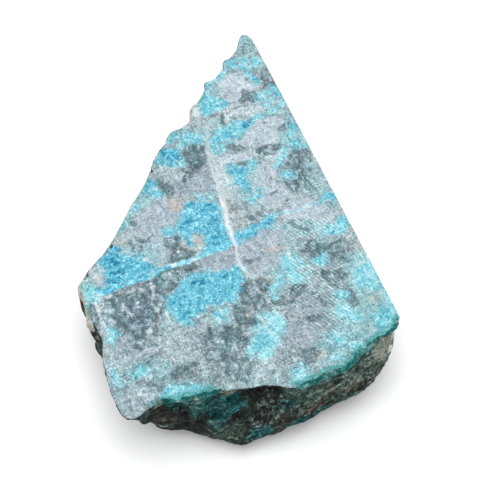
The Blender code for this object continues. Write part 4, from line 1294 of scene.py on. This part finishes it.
print(len(NOISES) + len(SEAMS) + 1, "patterns and", len(STORED), "stored values to paint with")

# %% [markdown]
# Paint is mixed from recipes. A tone is a plain sum of noises, and says how light a place is. A mask is such
# a sum pressed into a rise from 0 to a top, and says where a coat covers. A coat is a colour ramp along a
# tone, laid on through a mask. Written as tables, the recipes can be read and changed one by one, and
# three functions turn them into nodes.

# %% Recipes into nodes
# The places of a mix node's sockets that carry colours.
MIX_A, MIX_B, MIX_RESULT = 6, 7, 2


def summed(tree, values, start, weights):
    """The start plus each value times its weight. Noises lie round 0.5, and the start allows for that."""
    total = start
    for name, weight in weights.items():
        total = add_node(tree, "ShaderNodeMath", {0: values[name], 1: weight, 2: total},
                         operation="MULTIPLY_ADD").outputs[0]
    return total


def add_recipes(tree, values, tones, masks):
    """Adds tones, which are plain sums, and masks, which are sums pressed into a rise from 0 to a top."""
    for name, (start, weights) in tones.items():
        values[name] = summed(tree, values, start, weights)
    for name, (start, weights, low, high, top) in masks.items():
        values[name] = add_node(tree, "ShaderNodeMapRange", {
            "Value": summed(tree, values, start, weights), "From Min": low, "From Max": high, "To Max": top,
        }, interpolation_type="SMOOTHSTEP").outputs["Result"]


def coated(tree, values, coats):
    """The colour after all coats. Each coat is a colour ramp along a tone, laid on through a mask."""
    colour = None
    for mask, tone, stops in coats:
        coat = add_node(tree, "ShaderNodeValToRGB", {"Fac": values[tone]}, stops).outputs["Color"]
        colour = coat if mask is None else add_node(tree, "ShaderNodeMix", {
            0: values[mask], MIX_A: colour, MIX_B: coat}, data_type="RGBA").outputs[MIX_RESULT]
    return colour


print("a mix node takes its colours at places", MIX_A, "and", MIX_B, "and gives one at", MIX_RESULT)

# %% [markdown]
# **The sawn rock.** The matrix is a fine-grained altered rock, cut with a diamond saw and left dull.
# Each mineral has a ramp of colours from its darkest grain to its lightest, so that no coat is one flat
# colour. The greens and blues all come from copper, and lie between two of them: where more water got
# in, the blue turns to turquoise. Slate is the bluer kind of dark rock, and the veil is the thin skin
# round each blue filling.

# %% The colours of the cut face
ROCK_TONES = [(0.0, "#4b5c62"), (0.34, "#83979d"), (0.52, "#a3b6bc"), (0.70, "#c0d1d7"), (1.0, "#ebf4f6")]
ROSE_TONES = [(0.0, "#5f5c63"), (0.34, "#959099"), (0.52, "#b2abb2"), (0.70, "#cbc3c8"), (1.0, "#f2ecee")]
CLAST_TONES = [(0.0, "#53606a"), (0.34, "#8899a4"), (0.52, "#a8b8c2"), (0.70, "#c2d1da"), (1.0, "#edf4f8")]
HAZE_TONES = [(0.0, "#46828a"), (0.35, "#76a9af"), (0.55, "#95c3c8"), (0.75, "#b4dadd"), (1.0, "#e2f5f4")]
DARK_TONES = [(0.0, "#293d43"), (0.35, "#4f686f"), (0.55, "#6c8a8f"), (0.75, "#96b1b5"), (1.0, "#dae9ea")]
SLATE_TONES = [(0.0, "#2d3e48"), (0.35, "#586b76"), (0.55, "#788c98"), (0.75, "#9fb1bc"), (1.0, "#dfe8ee")]
VEIL_TONES = [(0.0, "#3f9db4"), (0.35, "#6fbdce"), (0.6, "#9cd8e1"), (1.0, "#e2f8fa")]
BLUE_TONES = [(0.0, "#1a6c88"), (0.25, "#3798b8"), (0.5, "#66bfd6"), (0.72, "#98dde9"), (1.0, "#e0f8fa")]
TURQUOISE_TONES = [(0.0, "#2b8b98"), (0.25, "#58a6b2"), (0.5, "#80c1ca"), (0.75, "#a2d8dc"),
                   (1.0, "#d2f0ee")]
RIM_TONES = [(0.0, "#11605f"), (0.35, "#358685"), (0.6, "#5faaa9"), (0.8, "#8ecac8"), (1.0, "#cfeeea")]
THREAD_TONES = [(0.0, "#2d9ec0"), (0.5, "#74d2e8"), (1.0, "#e0fafc")]
WHITE_TONES = [(0.0, "#8fa0a5"), (0.4, "#b9c8cc"), (0.7, "#e0eaec"), (1.0, "#ffffff")]
WARM_TONES = [(0.0, "#8a6f62"), (0.5, "#c0b3a8"), (1.0, "#e2d8cc")]
print("from", ROCK_TONES[0][1], "to", ROCK_TONES[-1][1], "in the grey rock")

# %% [markdown]
# The lacy pattern in the blue is real: chrysocolla grows as tiny rounded skins, about 1 mm across, with
# pale seams between them. To the eye it is what makes the blue look deep and glassy in places and
# chalky in others. The rock gets its look from grain and fibres instead, and its rusty-rose tint and
# dark specks come from iron.

# %% The recipes of the cut face
CUT_TONES = {
    "rock_tone": (-1.12, {"grain": 0.60, "steep_fibres": 0.75, "slanted_fibres": 0.80, "mottle": 0.68,
                          "cloud": 0.20, "strands": 0.30, "pale": 0.24, "deep": -0.26}),
    "clast_tone": (-1.16, {"grain": 0.62, "steep_fibres": 0.68, "slanted_fibres": 0.70, "mottle": 0.35,
                           "strands": 0.10, "clast_strength": 0.80}),
    "blue_tone": (-0.525, {"grain": 0.45, "steep_fibres": 0.30, "slanted_fibres": 0.20, "mottle": 0.95,
                           "patches": 0.45, "lace": 0.38, "strands": 0.26, "cells": -0.30,
                           "blue_strength": -0.56}),
    "veil_tone": (-0.80, {"grain": 0.70, "steep_fibres": 0.60, "slanted_fibres": 0.40, "mottle": 0.70,
                          "strands": 0.20}),
    "dark_tone": (-1.20, {"grain": 0.50, "steep_fibres": 0.58, "slanted_fibres": 0.42, "mottle": 0.72,
                          "patches": 0.82, "cloud": 0.50, "lace": 0.22, "strands": 0.20,
                          "dark_strength": -0.18}),
    "rim_tone": (-1.24, {"grain": 0.80, "steep_fibres": 0.60, "slanted_fibres": 0.60, "mottle": 0.80}),
    "white_tone": (-0.62, {"grain": 0.75, "steep_fibres": 0.45, "slanted_fibres": 0.30, "mottle": 0.40,
                           "white_strength": 0.55}),
}
CUT_MASKS = {
    "rosy": (0.0, {"tint": 1.0}, 0.48, 0.70, 0.40),
    "soaked": (-0.95, {"haze": 0.62, "mottle": 0.6, "ragged": 0.8, "steep_fibres": 0.4,
                       "slanted_fibres": 0.5}, 0.22, 0.78, 0.9),
    "specks": (0.0, {"ragged": 0.9, "mottle": 0.2, "deep": 0.14}, 0.62, 0.70, 0.8),
    "veiled": (-2.05, {"blue": 0.60, "steep_fibres": 1.8, "ragged": 2.0, "strands": 0.35},
               -0.30, 0.45, 0.82),
    "crusted": (-1.12, {"near_crust": 1.30, "ragged": 1.2, "mottle": 0.5}, 0.0, 0.75, 0.85),
    "slaty": (-1.30, {"dark": 0.35, "patches": 2.2}, 0.0, 0.45, 0.8),
}
print(len(CUT_TONES), "tones and", len(CUT_MASKS), "masks for the cut")

# %% [markdown]
# **The borders.** A stored field says how many mm a place lies inside a patch. Ragged noise and the
# fibres move it to and fro, so that the border frays along the fibres of the rock. Blue frays most,
# because it grew into the cracks of its neighbours, and quartz least. Where a patch is thin it also
# covers less. A thin dark rim follows the broken pieces, where the old rock reacted with the water.

# %% Borders of the patches
# How far noise and fibres move each border, how soft it is, all in mm, and how well its weakest part
# covers.
BORDERS = {
    "clast": (0.50, 0.40, 0.28, 1.00),
    "dark": (0.70, 0.60, 0.26, 0.30),
    "blue": (1.50, 1.70, 0.85, 0.32),
    "thread": (0.40, 0.60, 0.34, 0.10),
    "white": (0.32, 0.20, 0.32, 0.10),
}
# Deeper inside than this, in mm, no noise reaches the middle of a patch.
FIELD_TOP = 1.0
# The ragged noise swings by about a fifth to each side of its middle. This scale turns that into one mm
# for each mm of wander.
RAGGED_SCALE = 5.0
# Pieces with a rim, for which the distance to the border is kept.
RIMMED = ("clast", "dark")
# Masks that need the borders: the rims, and the thin blue that looks greener.
BORDER_MASKS = {
    "dark_rim": (-0.10, {"dark_away": -0.8, "dark_strength": 0.42, "strands": 0.10, "tint": 0.30},
                 -0.06, 0.22, 0.6),
    "clast_rim": (0.02, {"clast_away": -1.0, "strands": 0.10, "tint": 0.30}, -0.06, 0.24, 0.35),
    "greener": (0.28, {"haze": 0.35, "blue_strength": -1.1, "tint": 0.6}, 0.02, 0.36, 0.9),
}


def add_borders(tree, values):
    """Turns the stored fields into masks. Noise makes each border ragged, and thin parts cover less."""
    for name, (wander, frayed, edge, least) in BORDERS.items():
        inside = add_node(tree, "ShaderNodeMath", {0: values[name], 1: FIELD_TOP}, operation="MINIMUM")
        values[name + "_inside"] = inside.outputs[0]
        ragged = RAGGED_SCALE * wander
        # The noises lie round 0.5, so half of their weights is taken off again.
        moved = summed(tree, values, -0.5 * (ragged + 2.0 * frayed), {
            "ragged": ragged, "steep_fibres": frayed, "slanted_fibres": frayed, name + "_inside": 1.0})
        if name in RIMMED:
            away = add_node(tree, "ShaderNodeMath", {0: moved}, operation="ABSOLUTE")
            values[name + "_away"] = away.outputs[0]
        shape = add_node(tree, "ShaderNodeMapRange", {"Value": moved, "From Min": -edge, "From Max": edge},
                         interpolation_type="SMOOTHSTEP")
        share = add_node(tree, "ShaderNodeMapRange", {"Value": values[name + "_strength"], "To Min": least})
        values[name + "_mask"] = add_node(
            tree, "ShaderNodeMath", {0: shape.outputs["Result"], 1: share.outputs["Result"]},
            operation="MULTIPLY").outputs[0]
    add_recipes(tree, values, {}, BORDER_MASKS)
    values["turquoise"] = add_node(tree, "ShaderNodeMath", {0: values["greener"], 1: values["blue_mask"]},
                                   operation="MULTIPLY").outputs[0]


print(len(BORDERS), "kinds of border, the softest", max(edge for _, _, edge, _ in BORDERS.values()), "mm")

# %% [markdown]
# The coats follow the order in which the minerals formed: the grey rock and its pieces, the teal haze
# that soaked into it, rust, the dark pieces with their rims, the blue fillings with a veil round them,
# the blue thread, the crust that stained the rim, and the white veins last.

# %% The coats of the cut face
CUT_COATS = [
    (None, "rock_tone", ROCK_TONES),
    ("clast_mask", "clast_tone", CLAST_TONES),
    ("clast_rim", "dark_tone", SLATE_TONES),
    ("rosy", "rock_tone", ROSE_TONES),
    ("soaked", "rock_tone", HAZE_TONES),
    ("warm", "rock_tone", WARM_TONES),
    ("specks", "dark_tone", DARK_TONES),
    ("dark_mask", "dark_tone", DARK_TONES),
    ("slaty", "dark_tone", SLATE_TONES),
    ("dark_rim", "rim_tone", SLATE_TONES),
    ("veiled", "veil_tone", VEIL_TONES),
    ("blue_mask", "blue_tone", BLUE_TONES),
    ("turquoise", "blue_tone", TURQUOISE_TONES),
    ("thread_mask", "blue_tone", THREAD_TONES),
    ("crusted", "rock_tone", RIM_TONES),
    ("white_mask", "white_tone", WHITE_TONES),
]
print(len(CUT_COATS), "coats on the cut")

# %% [markdown]
# **The saw marks.** A diamond blade leaves fine parallel scratches where the stone moved a little in the
# vice. Their spacing, about 0.8 mm, is the feed of the saw. They are far too shallow to model, so they are
# bands in the bump and a slight change of brightness: scratched stone looks paler.

# %% Saw marks as bands
SAW_SPACING_MM = 0.80
SAW_TURN = 52.0
# A wave texture of scale 1 repeats every 2 pi / 20 of a unit.
WAVE_STEP = 2.0 * math.pi / 20.0
# The share of the face that the scratches take up, so that they don't change its mean brightness.
SCRATCHED_SHARE = 0.3
# The scratches are not quite straight.
SAW_WOBBLE = {"Distortion": 0.9, "Detail": 2.0, "Detail Scale": 0.6}
SAW_MASKS = {
    "scratch": (0.0, {"wave": 1.0}, 0.55, 0.95, 1.0),
    "marked": (0.0, {"saw_marks": 1.0, "mottle": 0.6}, 0.35, 1.1, 1.0),
}


def add_saw_bands(tree, values):
    """Bands where the face has saw marks: positive in the pale scratches and negative between them."""
    turned = add_node(tree, "ShaderNodeMapping", {
        "Vector": values["plain"], "Rotation": (0.0, 0.0, math.radians(SAW_TURN))}, vector_type="TEXTURE")
    values["wave"] = add_node(tree, "ShaderNodeTexWave", {
        "Vector": turned.outputs[0], "Scale": WAVE_STEP * per_metre(SAW_SPACING_MM), **SAW_WOBBLE,
    }, wave_type="BANDS", bands_direction="X").outputs["Fac"]
    add_recipes(tree, values, {}, SAW_MASKS)
    add_recipes(tree, values, {"centred": (-SCRATCHED_SHARE, {"scratch": 1.0})}, {})
    values["bands"] = add_node(tree, "ShaderNodeMath", {0: values["centred"], 1: values["marked"]},
                               operation="MULTIPLY").outputs[0]


print("saw marks every", SAW_SPACING_MM, "mm")

# %% [markdown]
# **The broken rock.** A weathered break of iron-rich rock: dull, nearly black where it is fresh and
# brown where the iron has rusted, with copper minerals as teal and green crusts, and grey and cream
# lumps of clay and quartz. Its streaks are drawn out sideways, because such rock is weakly bedded, and
# along the ropes on the near right.

# %% The colours and coats of the broken walls
STONE_TONES = [(0.0, "#040605"), (0.35, "#141a18"), (0.6, "#303b37"), (0.8, "#5b6962"), (1.0, "#95a096")]
GREEN_TONES = [(0.0, "#101a18"), (0.35, "#2a3d38"), (0.6, "#486158"), (0.8, "#7a9587"), (1.0, "#bccdbd")]
BROWN_TONES = [(0.0, "#110e0b"), (0.35, "#2d2822"), (0.6, "#524a3f"), (0.8, "#877a6a"), (1.0, "#b8ad9a")]
TEAL_TONES = [(0.0, "#021716"), (0.35, "#093b3d"), (0.6, "#18696c"), (0.8, "#3f9b9a"), (1.0, "#8fd2cd")]
GREY_TONES = [(0.0, "#242a26"), (0.35, "#5c665c"), (0.6, "#8b9589"), (0.8, "#b3bbaf"), (1.0, "#dde2d8")]
CREAM_TONES = [(0.0, "#8d9486"), (0.35, "#c4cab9"), (0.6, "#e8ece0"), (1.0, "#ffffff")]
LIP_TONES = [(0.0, "#06393a"), (0.35, "#145f5f"), (0.6, "#2d8683"), (0.8, "#5caaa6"), (1.0, "#a9ddd7")]

# The tone is darker where shade is painted in the hollows under the rim, and lighter in the paler stretches
# and where light is painted under the lip.
WALL_TONES = {
    "wall_tone": (-1.12, {"grain": 0.68, "mottle": 1.10, "streaks": 0.45, "ropes": 0.90, "strands": 0.20,
                          "lace": 0.16, "cells": -0.16, "wall_shade_and_pale": -0.13}),
}
WALL_MASKS = {
    "browned": (-1.30, {"wall_brown": 1.0, "streaks": 1.3, "mottle": 1.3}, 0.05, 0.75, 0.9),
    "greened": (-1.30, {"wall_green": 1.0, "streaks": 1.3, "mottle": 1.3}, 0.05, 0.75, 0.9),
    "tealed": (-1.30, {"wall_teal": 1.0, "streaks": 1.3, "mottle": 1.3}, 0.05, 0.75, 0.9),
    "greyed": (-1.20, {"wall_grey": 1.0, "streaks": 1.2, "mottle": 1.2}, 0.10, 0.60, 0.9),
    "lipped": (-1.00, {"lip": 1.1, "ragged": 1.4, "mottle": 0.6}, 0.15, 0.60, 0.95),
    "creamed": (-0.90, {"wall_cream": 1.0, "streaks": 0.9, "mottle": 0.9}, 0.15, 0.55, 1.0),
}
WALL_COATS = [
    (None, "wall_tone", STONE_TONES),
    ("browned", "wall_tone", BROWN_TONES),
    ("greened", "wall_tone", GREEN_TONES),
    ("tealed", "wall_tone", TEAL_TONES),
    ("lipped", "wall_tone", LIP_TONES),
    ("greyed", "wall_tone", GREY_TONES),
    ("creamed", "wall_tone", CREAM_TONES),
]
print(len(WALL_COATS), "coats on the break")

# %% [markdown]
# One Principled shader carries both finishes, mixed by the stored value that says where the saw went.
# Silicate rock has an IOR near 1.5. The cut is dull, at a roughness near 0.6, the blue a little
# smoother, because chrysocolla is waxy, and the break is the roughest.
#
# The tones above are those of the stone on a bright table. A mineral gives back less light than white
# paper, so the last step before the shader takes the tones of the cut down by one share. The break is
# taken down further: partly because its rock is dark, and partly as painted shade, which keeps the walls
# as dark as if they stood in shade.

# %% The whole stone's material
ROCK_IOR = 1.50
DULLNESS = 0.15
CUT_ROUGHNESS = 0.62
BLUE_ROUGHNESS = 0.50
GRAIN_ROUGHNESS = 0.12
BREAK_ROUGHNESS = 0.80
SAW_CONTRAST = 0.34
SAW_RELIEF = 0.5
CUT_BUMP_MM = 0.05
BREAK_BUMP_MM = 0.35
CUT_GIVES_BACK = 0.84
# Taken down for the dark rock, and further as painted shade on the walls.
BREAK_GIVES_BACK_AND_SHADE = 0.62
FINISH_TONES = {
    "scratched": (CUT_GIVES_BACK, {"bands": CUT_GIVES_BACK * SAW_CONTRAST}),
    "cut_roughness": (CUT_ROUGHNESS - 0.5 * GRAIN_ROUGHNESS, {
        "blue_mask": BLUE_ROUGHNESS - CUT_ROUGHNESS, "grain": GRAIN_ROUGHNESS}),
    "cut_height": (0.0, {"grain": 1.0, "bands": SAW_RELIEF}),
}
# The saw's edge is not quite clean, so a little noise moves it.
FINISH_MASKS = {"cut_share": (-0.35, {"sawn": 1.0, "mottle": 0.7}, 0.35, 0.65, 1.0)}


def chrysocolla_rock():
    """Sawn and broken chrysocolla-bearing rock."""
    material = bpy.data.materials.new("chrysocolla_rock")
    material.use_nodes = True
    tree = material.node_tree
    shader = tree.nodes["Principled BSDF"]
    values = shared_values(tree)
    add_recipes(tree, values, CUT_TONES, CUT_MASKS)
    add_borders(tree, values)
    add_saw_bands(tree, values)
    add_recipes(tree, values, WALL_TONES, WALL_MASKS)
    add_recipes(tree, values, FINISH_TONES, FINISH_MASKS)
    share = values["cut_share"]

    cut_colour = add_node(tree, "ShaderNodeVectorMath", {
        0: coated(tree, values, CUT_COATS), "Scale": values["scratched"]}, operation="SCALE")
    # The break's colour, taken down for its dark rock and for the shade painted onto the walls.
    break_colour = add_node(tree, "ShaderNodeVectorMath", {
        0: coated(tree, values, WALL_COATS), "Scale": BREAK_GIVES_BACK_AND_SHADE}, operation="SCALE")
    colour = add_node(tree, "ShaderNodeMix", {
        0: share, MIX_A: break_colour.outputs[0], MIX_B: cut_colour.outputs[0]}, data_type="RGBA")
    tree.links.new(colour.outputs[MIX_RESULT], shader.inputs["Base Color"])

    roughness = add_node(tree, "ShaderNodeMix", {0: share, 2: BREAK_ROUGHNESS, 3: values["cut_roughness"]})
    tree.links.new(roughness.outputs[0], shader.inputs["Roughness"])
    height = add_node(tree, "ShaderNodeMix", {0: share, 2: values["wall_tone"], 3: values["cut_height"]})
    far = add_node(tree, "ShaderNodeMix", {0: share, 2: BREAK_BUMP_MM * MM, 3: CUT_BUMP_MM * MM})
    bump = add_node(tree, "ShaderNodeBump", {"Height": height.outputs[0], "Distance": far.outputs[0],
                                             "Strength": 1.0})
    tree.links.new(bump.outputs[0], shader.inputs["Normal"])
    shader.inputs["IOR"].default_value = ROCK_IOR
    shader.inputs["Specular IOR Level"].default_value = DULLNESS
    print("material:", len(tree.nodes), "nodes")
    return material


# %% [markdown]
# The skin becomes one object. It stands for the imported solid, rides on the part's only body, and takes
# the stone's material.

# %% The finished stone
stone = bpy.data.objects.new("sawn_stone", skin)
bpy.context.scene.collection.objects.link(stone)
skin.materials.clear()
skin.materials.append(chrysocolla_rock())
skin.shade_smooth()
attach(stone, "root")
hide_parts(STONE)
print(stone.name, "stands for", STONE, "with", len(skin.materials), "material")

# %% [markdown]
# # Light and camera
#
# The table is a plain white sheet, as for a catalogue picture. Paper is the dullest of finishes: rough,
# without any gloss, and not quite white, so that the shadow on it can be seen.

# %% A table of white paper
TABLE_SIZE = 3000.0
PAPER_COLOUR = "#f4f4f4"
PAPER_ROUGHNESS = 0.9


def plain_table():
    """A white sheet under the stone."""
    half = TABLE_SIZE / 2 * MM
    corners = [(-half, -half, 0), (half, -half, 0), (half, half, 0), (-half, half, 0)]
    mesh = bpy.data.meshes.new("table")
    mesh.from_pydata(corners, [], [(0, 1, 2, 3)])
    table = bpy.data.objects.new("table", mesh)
    bpy.context.scene.collection.objects.link(table)
    paper = bpy.data.materials.new("white_paper")
    paper.use_nodes = True
    shader = paper.node_tree.nodes["Principled BSDF"]
    shader.inputs["Base Color"].default_value = linear(PAPER_COLOUR)
    shader.inputs["Roughness"].default_value = PAPER_ROUGHNESS
    shader.inputs["Specular IOR Level"].default_value = 0.0
    mesh.materials.append(paper)


plain_table()
print("table:", TABLE_SIZE / 1000, "m wide")

# %% [markdown]
# One large soft light hangs over the stone, a little in front of it. The top is bright and even, and the
# walls, which turn away from the light, stay dark. A white surround fills in the rest and keeps the
# shadow soft and short. The Standard view keeps the colours as they were written.

# %% Soft light and camera
SURROUND = 0.84
LIGHT_PLACE = (-20.0, -50.0, 560.0)
LIGHT_SIZE = 420.0
LIGHT_POWER = 2.2
# The camera looks down by this angle, from this far away, in degrees and mm.
VIEW_RISE = 60.0
VIEW_DISTANCE = 333.0
VIEW_TARGET = (0.664, -1.788, 12.0)
LENS_MM = 100.0
SENSOR_MM = 36.0


def aimed(thing, place, target):
    """Puts a light or camera at a place and turns it to look at a target, both in mm."""
    thing.location = Vector(place) * MM
    thing.rotation_euler = (Vector(target) - Vector(place)).to_track_quat("-Z", "Y").to_euler()
    bpy.context.scene.collection.objects.link(thing)
    return thing


surround = bpy.data.worlds.new("white_surround")
surround.use_nodes = True
surround.node_tree.nodes["Background"].inputs["Color"].default_value = (1.0, 1.0, 1.0, 1.0)
surround.node_tree.nodes["Background"].inputs["Strength"].default_value = SURROUND
bpy.context.scene.world = surround

softbox = bpy.data.lights.new("softbox", "AREA")
softbox.shape = "SQUARE"
softbox.size = LIGHT_SIZE * MM
softbox.energy = LIGHT_POWER
aimed(bpy.data.objects.new("softbox", softbox), LIGHT_PLACE, (0.0, 0.0, 0.0))

rise = math.radians(VIEW_RISE)
view_place = Vector(VIEW_TARGET) + VIEW_DISTANCE * Vector((0.0, -math.cos(rise), math.sin(rise)))
lens = bpy.data.cameras.new("camera")
lens.lens = LENS_MM
lens.sensor_width = SENSOR_MM
bpy.context.scene.camera = aimed(bpy.data.objects.new("camera", lens), view_place, VIEW_TARGET)
bpy.context.scene.view_settings.view_transform = "Standard"
print("camera at", [round(value, 1) for value in view_place], "mm")
